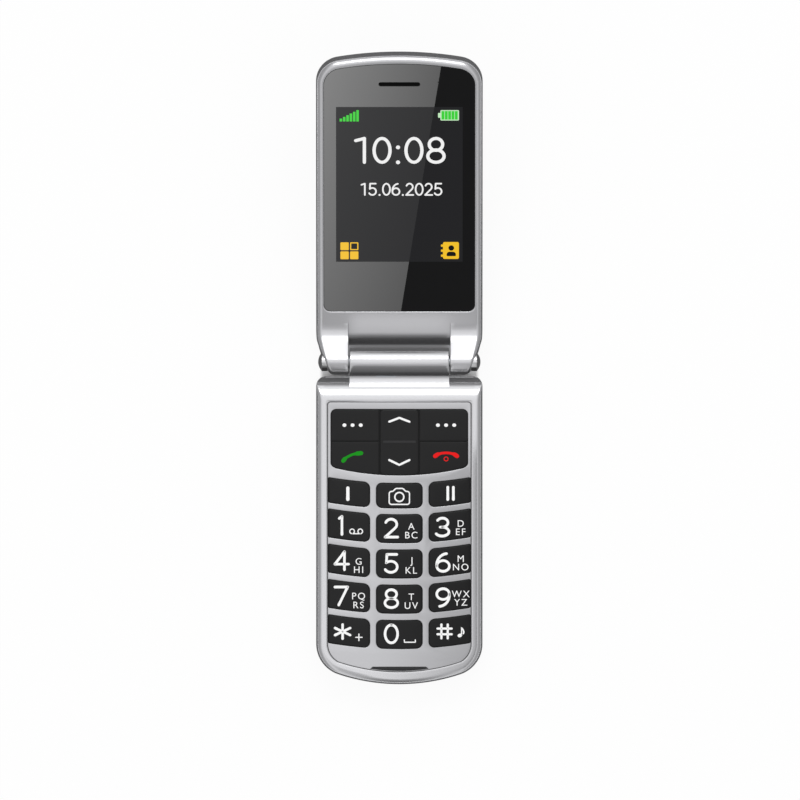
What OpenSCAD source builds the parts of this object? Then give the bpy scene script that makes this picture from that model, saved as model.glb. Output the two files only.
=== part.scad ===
// Clamshell phone with large keys, open and lying on its back.
// X runs across the phone, Y towards the lid, Z up out of the keypad.
// The origin is the centre of the flat back face that the base rests on.

/* [Body] */
// Width of base and lid
body_w = 50; // [48:0.5:54]
// Hinge axis to the bottom end of the base
base_reach = 97; // [94:0.5:104]
// Thickness of the base, back face to rim crest
base_t = 11.5; // [11.5:0.1:13]
// Height of the parting line between the base housings
split_h = 6.2; // [6.2:0.1:6.6]
// Side wall of the base housings
base_wall = 1.5; // [1.2:0.1:2]
// Radius of the arched bottom end
base_end_r = 58; // [50:1:80]
// Radius of the bottom corners
base_corner_r = 9.7; // [7:0.1:12]
// Radius of the corners at the hinge end
hinge_corner_r = 3; // [2.5:0.1:4]
// Radius of the shoulders that fall towards the hinge
shoulder_r = 7; // [6:0.1:7.5]
// Width of the edge rounding on the back
back_edge_w = 2.2; // [1.5:0.1:2.4]
// Height of the edge rounding on the back
back_edge_h = 2.4; // [1.8:0.1:3]
// Width of the edge rounding on the rim
rim_edge_w = 1.5; // [1:0.1:1.8]
// Height of the edge rounding on the rim
rim_edge_h = 2; // [1.4:0.1:2.4]
// Width of the rim's inner slope round the faceplate
rim_slope_w = 0.7; // [0.4:0.05:0.8]
// Height of that slope
rim_slope_h = 0.45; // [0.3:0.05:0.5]

/* [Lid] */
// Thickness of the lid
lid_t = 7.2; // [7:0.1:8]
// How much shorter the lid is than the base, from the hinge axis
lid_short = 0.8; // [0:0.1:1]
// Gap between lid and base rim when closed
closed_gap = 0.3; // [0.2:0.05:0.5]
// Angle of the open lid above the plane of the base
open_lean = 20; // [15:1:25]
// Radius of the arched top end
lid_end_r = 110; // [80:1:140]
// Radius of the top corners
lid_corner_r = 7.7; // [6:0.1:10]
// Radius of the taper in plan towards the hinge
lid_taper_r = 27; // [24:1:40]
// Height of the front housing's share of the lid
lid_split = 3.4; // [3.2:0.1:3.8]
// Wall of the lid housings
lid_wall = 1.1; // [0.9:0.1:1.3]
// Radius of the lid's outer face where it wraps the hinge
wrap_r = 7; // [6.5:0.1:7.5]
// Radius of the lid's middle edge facing the barrel
brow_r = 6.8; // [6:0.1:8]

/* [Hinge] */
// Depth of the hinge axis below the rim crest
axis_depth = 2.5; // [2.3:0.1:2.8]
// Radius of the lid's ears
ear_r = 3.9; // [3.7:0.1:4.1]
// Radius of the base's barrel
barrel_r = 4.2; // [4:0.1:4.4]
// Length of the barrel
barrel_w = 29.9; // [27:0.1:32]
// Axial gap between barrel and ears
ear_side_gap = 0.3; // [0.2:0.05:0.5]
// Radial gap between ears and base
ear_seat_gap = 0.4; // [0.3:0.05:0.6]
// Radius of the bore in the barrel
barrel_bore_r = 3; // [2.8:0.05:3.1]
// Radius of the hinge spindle
spindle_r = 1.5; // [1.3:0.05:1.7]
// Outer radius of the hollow cable tube
tube_r = 2; // [1.9:0.05:2.2]
// Wall of the cable tube
tube_wall = 0.5; // [0.4:0.05:0.55]
// Radius of the heads seated in the ears
head_r = 2.5; // [2.4:0.05:2.7]
// Radius of the end caps on the ears
cap_r = 2.8; // [2.3:0.1:2.9]
// Radius of the end caps' domed faces
cap_dome_r = 4; // [3.6:0.1:6]

/* [Keypad] */
// Width of the rim beside the faceplate
side_rim = 3.5; // [3:0.1:4]
// Thickness of the faceplate
plate_t = 0.6; // [0.5:0.05:0.8]
// Depth of the faceplate below the rim crest
plate_drop = 0.6; // [0.5:0.05:0.8]
// Width of the rim below the faceplate
chin_rim = 3.8; // [3.4:0.1:4.4]
// Thickness of the deck under the faceplate
deck_t = 0.8; // [0.7:0.05:0.9]
// Height of the keys above the faceplate
key_rise = 0.4; // [0.3:0.05:0.45]
// Travel of a key
key_travel = 0.3; // [0.2:0.05:0.35]
// Clearance round a key
key_clear = 0.15; // [0.1:0.05:0.2]
// Bar between key columns
key_bar = 2.1; // [1.8:0.1:2.6]
// Width of the middle keys
mid_key_w = 13.7; // [12.5:0.1:14.5]
// Bar between key rows
row_gap = 2.2; // [1.8:0.1:2.6]
// Faceplate below the last row of keys
key_chin = 7; // [6:0.1:8]
// Hinge axis to the first digit row
digit_start = 46; // [45.5:0.1:47]
// Height of the quick keys
quick_h = 7.35; // [6.6:0.05:7.6]
// Hinge axis to the quick keys
quick_start = 36.6; // [36.2:0.1:37]
// Corner radius of the keys
key_r = 1.7; // [1.2:0.1:2.2]
// Radius of the arcs along which the rows sag
smile_r = 128; // [110:1:200]
// Rim of a key under the deck
flange_w = 0.5; // [0.4:0.05:0.6]
// Thickness of that rim
flange_t = 0.6; // [0.5:0.05:0.7]
// Width of the soft pad that the lid rests on
pad_w = 17.6; // [14:0.2:20]
// Height of that pad on the faceplate
pad_h = 1.3; // [1:0.1:1.6]

/* [Navigation keys] */
// Faceplate beside the cluster
nav_side = 1; // [0.8:0.1:2]
// Hinge axis to the top of the cluster
nav_start = 14.35; // [14:0.05:15]
// Length of the cluster at its middle
nav_len = 19.7; // [18.5:0.1:20]
// Radius of the cluster's lower edge
nav_arc_r = 85; // [75:1:110]
// Width of the rocker
rocker_w = 11.9; // [10:0.1:13]
// Groove between the keys of the cluster
nav_gap = 0.25; // [0.2:0.05:0.35]
// Cluster top to the groove between soft and call keys
nav_cross = 9.6; // [8.5:0.1:10.5]
// Tilt of the rocker to each side
rocker_tilt = 1.5; // [1:0.25:1.75]

/* [Display] */
// Width of the rim beside the display window
lens_side = 2.25; // [2:0.05:3]
// Hinge axis to the lower edge of the window
lens_start = 15; // [14:0.1:17]
// Window's upper edge to the lid's top end
lens_margin = 2.2; // [2:0.1:3]
// Thickness of the window
lens_t = 1; // [0.8:0.05:1.1]
// Corner radius of the window
lens_r = 2.3; // [1.5:0.1:3]
// Visible width of the display
screen_w = 38; // [36:0.1:39]
// Visible length of the display
screen_l = 49.3; // [47:0.1:51]
// Lid's top end to the upper edge of the visible display
screen_drop = 16; // [15:0.1:17]
// Border of the display module round its visible field
module_rim = 2.2; // [1.8:0.1:2.4]
// Thickness of the display module
module_t = 2.1; // [1.9:0.05:2.2]
// Length of the earpiece slot
slot_w = 12.3; // [10:0.1:14]
// Height of the earpiece slot
slot_h = 1.1; // [0.9:0.05:1.4]
// Lid's top end to the earpiece slot
slot_drop = 8.8; // [8:0.1:9.5]

/* [Back of the lid] */
// Width of the outer window
outer_w = 30; // [26:0.5:34]
// Length of the outer window
outer_l = 26; // [22:0.5:28]
// Hinge axis to the outer window
outer_start = 38; // [36:0.5:42]
// Radius of the camera window
camera_r = 4; // [3.5:0.1:4.5]
// Hinge axis to the camera
camera_reach = 25; // [23:0.5:27]

/* [Battery and inside] */
// Width of the battery
batt_w = 34; // [30:0.5:36]
// Length of the room between the battery and the hinge end
bay_l = 26.7; // [26.5:0.1:29]
// Thickness of the battery
batt_t = 3.9; // [3.6:0.1:4]
// Bottom end of the base to the battery
batt_start = 9; // [8.5:0.1:10]
// Thickness of the battery cover
cover_t = 1.3; // [1.1:0.1:1.4]
// How far the battery cover reaches past the battery
cover_past = 12; // [10:0.5:12]
// Sliding travel that frees the battery cover
cover_travel = 4; // [3:0.5:4.5]
// Thickness of the main board
board_t = 1; // [0.8:0.1:1]
// Thickness of the key mat
mat_t = 0.6; // [0.5:0.05:0.65]
// Height of a dome
dome_h = 0.25; // [0.2:0.05:0.3]
// Thickness of the dome film
film_t = 0.15; // [0.1:0.05:0.2]
// Radius of the emergency key on the back
sos_r = 5; // [4:0.1:5.5]
// Radius of the loudspeaker
speaker_r = 7.5; // [6.5:0.1:7.5]
// Length of the screws' grip in the front housing
screw_bite = 2; // [1.5:0.1:2.1]

/* [Hidden] */
$fn = 64;
ARC_STEP = 6; // degrees between the points of an arc
CORNER_STEP = 18; // the same at a small rounded corner
EPS = 0.01; // overshoot of a cut past the face it opens
FIT = 0.05; // radial clearance of seated and running parts
PART_GAP = 0.15; // gap between parts that only lie beside each other
BITE = 0.06; // how far a rounding runs past the face that it blends into
DRAFT = 0.02; // mould draft of the shells, from the parting line to the edge rounding

half_w = body_w / 2;
base_l = base_reach - ear_r - ear_seat_gap;
base_top = base_l / 2;
base_bottom = -base_l / 2;
axis_y = base_top + ear_r + ear_seat_gap;
axis_z = base_t - axis_depth;

// Levels through the keypad, from the faceplate down to the board
plate_top = base_t - plate_drop;
deck_top = plate_top - plate_t;
deck_bottom = deck_top - deck_t;
flange_gap = 0.1;
flange_top = deck_bottom - flange_gap;
key_bottom = flange_top - flange_t;
key_top = plate_top + key_rise;
mat_gap = 0.05;
mat_top = key_bottom - key_travel - mat_gap;
mat_bottom = mat_top - mat_t;
board_top = split_h + board_t;
film_top = board_top + film_t;
dome_top = film_top + dome_h;

// Faceplate and keypad in plan; distances run down from the hinge axis
plate_start = ear_r + ear_seat_gap + shoulder_r + 0.9;
plate_end = base_reach - chin_rim;
plate_w = body_w - 2 * side_rim;
nav_w = plate_w - 2 * nav_side;
mid_x = mid_key_w / 2;
side_x0 = mid_x + key_bar;
side_x1 = plate_w / 2 - PART_GAP;
outer_corner_r = 0.4;
cap_bevel = 0.3;
outer_slant = 0.4; // how much wider the bevel is on the outer side of the side keys
nav_r = 1.5;
row_pitch = (plate_end - key_chin - digit_start + row_gap) / 4;
key_h = row_pitch - row_gap;
digit_end = plate_end - key_chin;
pad_margin = 0.2;
pad_end = plate_end - pad_margin;
pad_slant = pad_h * 0.6;
pad_depth = 0.4;
pad_rise = 0.35;
mat_start = nav_start - 1;
mat_end = digit_end + 1.5;
nub_r = 1.2;
dome_r = 2.2;

// The rocker tilts on a foot at its middle, with a rim that swings between deck and mat
rocker_y = axis_y - nav_start - nav_len / 2;
foot_half = 1;
rocker_swing = (nav_len / 2 + flange_w) * sin(rocker_tilt);
rocker_press = 2.5; // from the cluster's edge to the dome that the rocker presses
nav_side_x = (rocker_w + nav_w) / 4;

// Levels through the lid, in its own frame: axis at the origin,
// Y along the lid, Z towards the face that looks at the keypad
lid_in = -(axis_depth + closed_gap);
lid_out = lid_in - lid_t;
lid_mid = lid_in - lid_split;
lid_end = base_reach - lid_short;
lens_top = lid_in - 0.15;
lens_bottom = lens_top - lens_t;
ledge_t = 0.5; // the housing's ledge that carries the window
ledge_gap = 0.3; // from the visible display to that ledge
module_top = lens_bottom - ledge_t;
module_bottom = module_top - module_t;
lid_floor = lid_out + lid_wall;
lid_board_t = 0.6;
lid_board_top = module_bottom - 0.1;
lid_board_bottom = lid_board_top - lid_board_t;
lens_end = lid_end - lens_margin;
lens_w = body_w - 2 * lens_side;
screen_start = lid_end - screen_drop - screen_l;
slot_reach = lid_end - slot_drop;
ramp_r = shoulder_r + closed_gap;
ramp_u = axis_y - base_top + shoulder_r;
ramp_v = shoulder_r - axis_depth;
ramp_d = norm([ramp_u, ramp_v]);
ramp_normal = 90 + atan2(ramp_v, ramp_u) - asin((ramp_r + ear_r) / ramp_d);
ramp_n = [cos(ramp_normal), sin(ramp_normal)]; // across the straight ramp above the ear
ramp_foot = [ramp_u, ramp_v] - ramp_r * ramp_n;
lid_cavity_start = ramp_u + 1.2;
lid_side_t = lid_wall + 0.3;
brow_start = ramp_u - 2.8;
lid_taper_u = 9;
lid_rim_w = 1;
lid_rim_h = 1.4;
lid_back_w = 2.6;
lid_back_h = 2.8;
ear_draw = [0.3, 0.9, 2]; // how far the ears' sides draw in at face, axis and crest

// Windows in the lid's back, by depth below its outer face
window_t = 0.7;
window_set = 0.1;
window_r = 3;
window_rim = 1.5;
back_part_t = lid_board_bottom - lid_out; // room between the outer face and the lid's board
magnet_r = 1.8;

// Hinge along X
barrel_x = barrel_w / 2;
ear_x = barrel_x + ear_side_gap;
ear_side_t = 3.95; // from the body's side to the end of the ears' bores
ear_end_x = half_w - ear_side_t;
cartridge_x = 3;
tube_in_x = 8.5;
cap_seat_x = ear_end_x + 0.6;
cap_set = 0.6; // depth of the end caps below the body's side
cap_end_x = half_w - cap_set;
flex_t = 0.2;
flex_w = 3.3;
flex_r = tube_r - tube_wall - PART_GAP;
flex_end_x = ear_end_x - 0.2;
base_flex_x = [-7, -1];
base_flex_reach = ear_r + ear_seat_gap + shoulder_r;
base_flex_drop = 0.35; // of the ribbon below the axis

// Battery bay
batt_y0 = base_bottom + batt_start;
bay_y1 = base_top - 3;
bay_y0 = bay_y1 - bay_l;
batt_y1 = bay_y0 - 4;
batt_z0 = cover_t + PART_GAP;
batt_z1 = batt_z0 + batt_t;
cover_y1 = batt_y1 + cover_past;
bay_x = half_w - 2.5;
bay_z = 2.6;
antenna_x = batt_w / 2;
antenna_y1 = batt_y0 - 1.2;
board_x = half_w - base_wall - 1;
board_set = 6; // from the hinge end of the base
board_y1 = base_top - board_set;

// Housing screws, from the rear housing into bosses along the front housing's sides
screw_r = 0.8;
screw_head_r = 1.4;
screw_head_t = 0.75;
screw_head_z = cover_t + PART_GAP + 0.15;
screw_inset = 3; // from the battery's ends
boss_r = 1.6;
screw_x = half_w - base_wall - screw_r - 0.1;

// Loudspeaker and emergency key, side by side at the hinge end
side_part_x = 11.5;
side_part_set = 5; // from the hinge end of the base to the loudspeaker
side_part_y = base_top - speaker_r - side_part_set;
sos_recess = 0.4;
sos_rim = 0.8;
sos_travel = 0.3;
sos_top = bay_z - flange_gap;
sos_stem_r = 1.5;
sos_stem_top = split_h - 1.7;

// Charging socket on the right side
usb_set_y = 5; // from the room's lower end to the socket's middle
usb_y = bay_y0 + usb_set_y;
usb_w = 7.6;
usb_h = 2.6;
usb_l = 5.6;
usb_set = 0.8; // depth of its mouth below the housing's side
motor_r = 1.7;
motor_l = 9;
motor_x1 = half_w - usb_set - usb_l - 1.6;
motor_y = bay_y0 + motor_r + 0.5;

// Row 0 is the quick keys, rows 1 to 4 are the digits
function row_start(row) = row == 0 ? quick_start : digit_start + (row - 1) * row_pitch;
function row_height(row) = row == 0 ? quick_h : key_h;

// Name, column (-1 left, 0 middle, 1 right) and row of each plunger key
KEYPAD = [
    ["quick_key_1", -1, 0], ["camera_key", 0, 0], ["quick_key_2", 1, 0],
    ["key_1", -1, 1], ["key_2", 0, 1], ["key_3", 1, 1],
    ["key_4", -1, 2], ["key_5", 0, 2], ["key_6", 1, 2],
    ["key_7", -1, 3], ["key_8", 0, 3], ["key_9", 1, 3],
    ["key_star", -1, 4], ["key_0", 0, 4], ["key_hash", 1, 4]
];

// Name, side (-1 left, 1 right) and place (0 upper, 1 lower) of each key beside the rocker
NAV_KEYS = [
    ["soft_key_left", -1, 0], ["soft_key_right", 1, 0],
    ["call_key", -1, 1], ["end_key", 1, 1]
];

SILVER = [0.72, 0.72, 0.74];
BRIGHT = [0.82, 0.82, 0.84];
KEY_BLACK = [0.15, 0.15, 0.16];
GLOSS_BLACK = [0.06, 0.06, 0.07];
RUBBER_GREY = [0.3, 0.3, 0.32];
BOARD_GREEN = [0.1, 0.35, 0.2];
STEEL = [0.6, 0.62, 0.65];
GOLD = [0.8, 0.65, 0.3];
AMBER = [0.75, 0.5, 0.15];

// ---- Plan outlines ----

// Points along an arc from angle a0 to angle a1
function arc(c, r, a0, a1, step = ARC_STEP) =
    let (n = max(1, ceil(abs(a1 - a0) / step)))
    [for (i = [0:n]) let (a = a0 + (a1 - a0) * i / n) c + r * [cos(a), sin(a)]];

// An arched end at y_end, joined to straight sides by tangent corners, going from the right
// side to the left, drawn in by the given inset
function arched_end(y_end, end_r, corner_r, inset) =
    let (
        end_c = [0, y_end + end_r],
        corner_x = half_w - corner_r,
        corner_y = end_c.y - sqrt(pow(end_r - corner_r, 2) - pow(corner_x, 2)),
        turn = atan2(corner_y - end_c.y, corner_x)
    )
    concat(
        arc([corner_x, corner_y], corner_r - inset, 0, turn),
        arc(end_c, end_r - inset, turn, -180 - turn),
        arc([-corner_x, corner_y], corner_r - inset, -180 - turn, -180)
    );

// The base in plan, drawn in by the given inset
function base_outline(inset) =
    let (
        r = max(hinge_corner_r - inset, EPS),
        cx = half_w - inset - r,
        cy = base_top - inset - r
    )
    concat(
        arc([cx, cy], r, 90, 0),
        arched_end(base_bottom, base_end_r, base_corner_r, inset),
        arc([-cx, cy], r, 180, 90)
    );

// The lid in plan, in its own frame
function lid_outline(inset) =
    let (
        c = half_w - lid_taper_r,
        r = lid_taper_r - inset,
        a = asin((lid_taper_u + ear_r) / lid_taper_r),
        end = arched_end(-lid_end, lid_end_r, lid_corner_r, inset)
    )
    concat(
        arc([c, lid_taper_u], r, -a, 0),
        [for (p = end) [p.x, -p.y]],
        arc([-c, lid_taper_u], r, 180, 180 + a)
    );

// Inset and height of the layers of an elliptical edge rounding, from the face to the side
function edge_layers(w, h) = [for (a = [0:30:90]) [DRAFT + w * (1 - sin(a)), h * (1 - cos(a))]];

// Polygon with rounded corners; each point is [x, y, radius]
function rounded(pts) =
    let (n = len(pts))
    [for (i = [0:n - 1])
        let (
            p = [pts[i].x, pts[i].y],
            before = [pts[(i + n - 1) % n].x, pts[(i + n - 1) % n].y],
            after = [pts[(i + 1) % n].x, pts[(i + 1) % n].y],
            d0 = (before - p) / norm(before - p),
            d1 = (after - p) / norm(after - p),
            r = pts[i].z,
            half = acos(d0 * d1) / 2,
            bisector = (d0 + d1) / max(norm(d0 + d1), EPS),
            c = p + bisector * r / sin(half),
            t0 = p + d0 * r / tan(half),
            t1 = p + d1 * r / tan(half),
            a0 = atan2(t0.y - c.y, t0.x - c.x),
            sweep = atan2(t1.y - c.y, t1.x - c.x) - a0,
            turn = sweep > 180 ? sweep - 360 : sweep < -180 ? sweep + 360 : sweep
        )
        each r < EPS ? [p] : arc(c, r, a0, a0 + turn, CORNER_STEP)];

// Drop of an arc of radius r at distance x from its middle
function sag(r, x) = r - sqrt(r * r - x * x);

// Outline of a plunger key: column, row, how far it is drawn in, and how much further the
// outer side of a side key is
function key_outline(col, row, inset, slant = 0) =
    let (
        x0 = (col == 0 ? -mid_x : side_x0) + inset,
        x1 = (col == 0 ? mid_x : side_x1 - slant) - inset,
        xm = (x0 + x1) / 2,
        y1 = axis_y - row_start(row) - inset,
        y0 = axis_y - row_start(row) - row_height(row) + inset,
        inner = max(key_r - inset, 0.2),
        outer = col == 0 ? inner : max(outer_corner_r - inset, 0.15),
        ring = [
            [x0, y1 + sag(smile_r, x0), inner], [xm, y1 + sag(smile_r, xm), 0],
            [x1, y1 + sag(smile_r, x1), outer], [x1, y0 + sag(smile_r, x1), outer],
            [xm, y0 + sag(smile_r, xm), 0], [x0, y0 + sag(smile_r, x0), inner]
        ]
    )
    rounded([for (p = ring) [col == -1 ? -p.x : p.x, p.y, p.z]]);

// Middle of a plunger key, and of a key beside the rocker
function key_centre(col, row) =
    let (x = col * (side_x0 + side_x1) / 2)
    [x, axis_y - row_start(row) - row_height(row) / 2 + sag(smile_r, x)];
function nav_centre(side, place) =
    [side * nav_side_x, axis_y - nav_start - nav_cross * (place == 0 ? 0.5 : 1.35)];

// Where the mat's nubs press the domes
PRESS_POINTS = concat(
    [for (k = KEYPAD) key_centre(k[1], k[2])],
    [for (k = NAV_KEYS) nav_centre(k[1], k[2])],
    [for (d = [rocker_press, nav_len - rocker_press]) [0, axis_y - nav_start - d]]
);

// Outline of the whole navigation cluster, drawn in by the given inset
function nav_outline(inset) =
    let (
        x = nav_w / 2 - inset,
        y1 = axis_y - nav_start - inset,
        y0 = axis_y - nav_start - nav_len + inset,
        a = asin(x / nav_arc_r),
        corner = max(nav_r - inset, 0.2)
    )
    rounded(concat(
        [[-x, y0 + sag(nav_arc_r, x), corner], [-x, y1, corner],
         [x, y1, corner], [x, y0 + sag(nav_arc_r, x), corner]],
        [for (t = [0.75:-0.25:-0.75]) [x * t, y0 + sag(nav_arc_r, x * t), 0]]
    ));

// ---- Building blocks ----

module slab(z0, z1) {
    translate([0, 0, z0]) linear_extrude(z1 - z0) children();
}

module box(x, y, z) {
    translate([x[0], y[0], z[0]]) cube([x[1] - x[0], y[1] - y[0], z[1] - z[0]]);
}

// A cylinder along X from x0 to x1, on the line through (y, z)
module rod(x0, x1, r, y = 0, z = 0) {
    translate([x0, y, z]) rotate([0, 90, 0]) cylinder(h = x1 - x0, r = r);
}

// A profile drawn in (y, z), extruded along X from x0 to x1
module across(x0, x1) {
    translate([x0, 0, 0]) rotate([90, 0, 90]) linear_extrude(x1 - x0) children();
}

// Children drawn in the hinge axis' own frame of the base
module at_axis() {
    translate([0, axis_y, axis_z]) children();
}

// Children drawn in the lid's frame
module on_lid() {
    at_axis() rotate([open_lean, 0, 0]) children();
}

// Both sides of the phone
module both_sides() {
    children();
    mirror([1, 0, 0]) children();
}

// ---- Base forms ----

// The whole base, round-edged, with the shoulders that fall towards the hinge
module base_form() {
    intersection() {
        hull() {
            for (l = edge_layers(back_edge_w, back_edge_h))
                slab(l[1], l[1] + EPS) polygon(base_outline(l[0]));
            slab(split_h, split_h + EPS) polygon(base_outline(0));
            for (l = edge_layers(rim_edge_w, rim_edge_h))
                slab(base_t - l[1] - EPS, base_t - l[1]) polygon(base_outline(l[0]));
        }
        across(-half_w - 1, half_w + 1) base_side_profile();
    }
}

// Side profile of the base: a quarter round at the hinge end, which runs a little past the
// hull's faces and meets them at a slight angle
module base_side_profile() {
    c = [base_top - shoulder_r + BITE, base_t - shoulder_r + BITE];
    translate([base_bottom - 1, -1]) square([c.x - base_bottom + 1, base_t + 2]);
    translate([base_bottom - 1, -1]) square([base_l + 2, c.y + 1]);
    translate(c) circle(shoulder_r);
}

// Side profile of the barrel and of the block that joins it to the base, about the axis
module barrel_profile() {
    block_y = -7.5;
    block_r = 10;
    block_tilt = 18;
    neck_y = block_y - 1;
    end_y = base_top - axis_y + FIT;
    dy = block_y + axis_y - base_top + shoulder_r;
    block_z = sqrt(shoulder_r * shoulder_r - dy * dy) - shoulder_r + axis_depth;
    circle(barrel_r);
    translate([end_y, -barrel_r]) square([-end_y, barrel_r]);
    translate([neck_y, split_h - axis_z]) square([-neck_y, axis_z - split_h]);
    intersection() {
        translate([block_y, split_h - axis_z]) square([-block_y - 2, 2 * barrel_r]);
        translate([block_y - block_r * sin(block_tilt), block_z - block_r * cos(block_tilt)])
            circle(block_r);
    }
}

// Room inside the front housing, from the parting line to the deck
module base_cavity() {
    shoulder_wall = 1.8;
    intersection() {
        slab(split_h - EPS, deck_bottom) polygon(base_outline(base_wall));
        box([-half_w, half_w], [base_bottom, base_top - shoulder_r + shoulder_wall],
            [split_h - 1, deck_bottom + 1]);
    }
}

// The faceplate's outline with a clearance: positive grows it
module plate_outline(grow) {
    w = plate_w / 2 + grow;
    intersection() {
        polygon(base_outline(min(chin_rim, side_rim) - grow));
        translate([-w, axis_y - plate_end - grow])
            square([2 * w, plate_end - plate_start + 2 * grow]);
        translate([0, axis_y - plate_end + base_end_r - grow]) circle(base_end_r, $fn = 240);
    }
}

// Openings for every key, with a clearance
module key_openings(grow) {
    polygon(nav_outline(-grow));
    for (k = KEYPAD) polygon(key_outline(k[1], k[2], -grow));
}

// The soft pad's outline: a trapezium whose lower edge follows the faceplate's
module pad_outline(grow) {
    y0 = axis_y - pad_end - grow;
    y1 = axis_y - pad_end + pad_h + grow;
    x = pad_w / 2 + grow;
    intersection() {
        polygon([[-x, y0], [-x + pad_slant, y1], [x - pad_slant, y1], [x, y0]]);
        plate_outline(grow - pad_margin);
    }
}

// ---- Base pieces ----

module base_front_housing() {
    color(BRIGHT) difference() {
        union() {
            intersection() {
                base_form();
                box([-half_w - 1, half_w + 1], [base_bottom - 1, base_top + 1], [split_h, base_t + 1]);
            }
            at_axis() across(-barrel_x, barrel_x) barrel_profile();
        }
        difference() {
            base_cavity();
            screw_positions() slab(split_h - 1, mat_top) circle(boss_r);
        }
        slab(deck_top, base_t + 1) plate_outline(PART_GAP);
        rim_slope();
        slab(deck_bottom - EPS, deck_top + EPS) key_openings(key_clear);
        at_axis() rod(-barrel_x - 1, barrel_x + 1, barrel_bore_r);
        flex_slot();
        screw_positions() slab(split_h - 1, split_h + screw_bite + PART_GAP) circle(screw_r + FIT);
    }
}

// Cut that slopes the rim's crest down to the faceplate's recess
module rim_slope() {
    hull() {
        slab(base_t - rim_slope_h - EPS, base_t - rim_slope_h) plate_outline(PART_GAP - BITE);
        slab(base_t + BITE, base_t + BITE + EPS) plate_outline(PART_GAP + rim_slope_w);
    }
}

// Passage of the flex cable from the cavity into the barrel
module flex_slot() {
    at_axis()
        box([base_flex_x[0] - PART_GAP, base_flex_x[1] + PART_GAP], [-base_flex_reach, 0],
            [-base_flex_drop - PART_GAP, flex_t]);
}

module keypad_faceplate() {
    color(SILVER) difference() {
        slab(deck_top, plate_top) plate_outline(0);
        slab(deck_top - 1, plate_top + 1) key_openings(key_clear);
        slab(plate_top - pad_depth, plate_top + 1) pad_outline(FIT);
    }
}

module lid_rest_pad() {
    color(RUBBER_GREY) slab(plate_top - pad_depth, plate_top + pad_rise) pad_outline(0);
}

// The four housing screws' places, beside the battery
module screw_positions() {
    for (y = [batt_y0 + screw_inset, batt_y1 - screw_inset])
        both_sides() translate([screw_x, y, 0]) children();
}

module base_rear_housing() {
    color(SILVER) difference() {
        intersection() {
            base_form();
            box([-half_w - 1, half_w + 1], [base_bottom - 1, base_top + 1], [0, split_h]);
        }
        cover_room();
        battery_pocket();
        upper_bay();
        antenna_pocket();
        speaker_slots();
        emergency_well();
        usb_opening();
        screw_positions() slab(0, split_h + 1) circle(screw_r + FIT);
        screw_positions() slab(0, screw_head_z + screw_head_t) circle(screw_head_r + FIT);
        cover_tongues(PART_GAP);
    }
}

// Space that the battery cover fills
module cover_room() {
    box([-half_w - 1, half_w + 1], [base_bottom - 1, cover_y1 + PART_GAP], [-1, cover_t + PART_GAP]);
}

module battery_pocket() {
    box([-batt_w / 2 - PART_GAP, batt_w / 2 + PART_GAP], [batt_y0 - PART_GAP, batt_y1 + 1.2],
        [0, batt_z1 + PART_GAP]);
}

module upper_bay() {
    box([-bay_x, bay_x], [bay_y0, bay_y1], [bay_z, split_h + 1]);
}

module antenna_outline(inset) {
    intersection() {
        polygon(base_outline(inset));
        translate([-antenna_x, base_bottom])
            square([2 * antenna_x, antenna_y1 - base_bottom - inset + base_wall]);
    }
}

module antenna_pocket() {
    slab(bay_z, split_h + 1) antenna_outline(base_wall);
}

// Sound slots in the back, behind the loudspeaker
module speaker_slots() {
    slot_l = 7;
    slot_t = 1;
    slot_pitch = 2.2;
    for (i = [-2:2])
        translate([side_part_x + i * slot_pitch - slot_t / 2, side_part_y - slot_l / 2, -1])
            cube([slot_t, slot_l, bay_z + 2]);
}

// Children at the emergency key's place
module at_emergency() {
    translate([-side_part_x, side_part_y, 0]) children();
}

// Hole for the emergency key, stepped so that the key's rim stays inside
module emergency_well() {
    at_emergency() {
        slab(-1, bay_z + EPS) circle(sos_r + key_clear);
        slab(bay_z - sos_rim, bay_z + EPS) circle(sos_r + sos_rim + key_clear);
    }
}

module usb_opening() {
    box([bay_x - 1, half_w + 1], [usb_y - usb_w / 2 - FIT, usb_y + usb_w / 2 + FIT],
        [split_h - usb_h - FIT, split_h + 1]);
}

// Tongues of the cover that hook under the rear housing
module cover_tongues(grow) {
    tongue_w = 5;
    tongue_l = cover_travel - 2.4;
    tongue_t = 0.5;
    spread = batt_w / 2 - 2;
    for (x = [-spread, 0, spread])
        box([x - tongue_w / 2 - grow, x + tongue_w / 2 + grow],
            [cover_y1 - EPS, cover_y1 + tongue_l + grow],
            [cover_t - tongue_t - grow, cover_t + grow]);
}

module battery_cover() {
    groove_w = 0.6;
    groove_depth = 0.3;
    groove_pitch = 1.5;
    groove_y = cover_y1 - 6;
    color(SILVER) difference() {
        union() {
            intersection() {
                base_form();
                box([-half_w - 1, half_w + 1], [base_bottom - 1, cover_y1], [0, cover_t]);
            }
            cover_tongues(0);
        }
        for (i = [0:4])
            translate([0, groove_y - i * groove_pitch, 0])
                box([-8, 8], [0, groove_w], [-1, groove_depth]);
    }
}

module battery() {
    color([0.2, 0.22, 0.26])
        box([-batt_w / 2, batt_w / 2], [batt_y0, batt_y1], [batt_z0, batt_z1]);
}

module battery_contacts() {
    color(GOLD) for (x = [-8, -4, 0, 4])
        box([x - 0.8, x + 0.8], [batt_y1 + EPS, batt_y1 + 1.1], [batt_z0 + 0.6, batt_z1 + PART_GAP]);
}

module base_screws() {
    color(STEEL) screw_positions() {
        slab(screw_head_z, screw_head_z + screw_head_t) circle(screw_head_r);
        slab(screw_head_z + screw_head_t - EPS, split_h + screw_bite) circle(screw_r);
    }
}

module antenna_carrier() {
    color([0.25, 0.25, 0.27]) slab(bay_z, split_h) antenna_outline(base_wall + PART_GAP);
}

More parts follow.
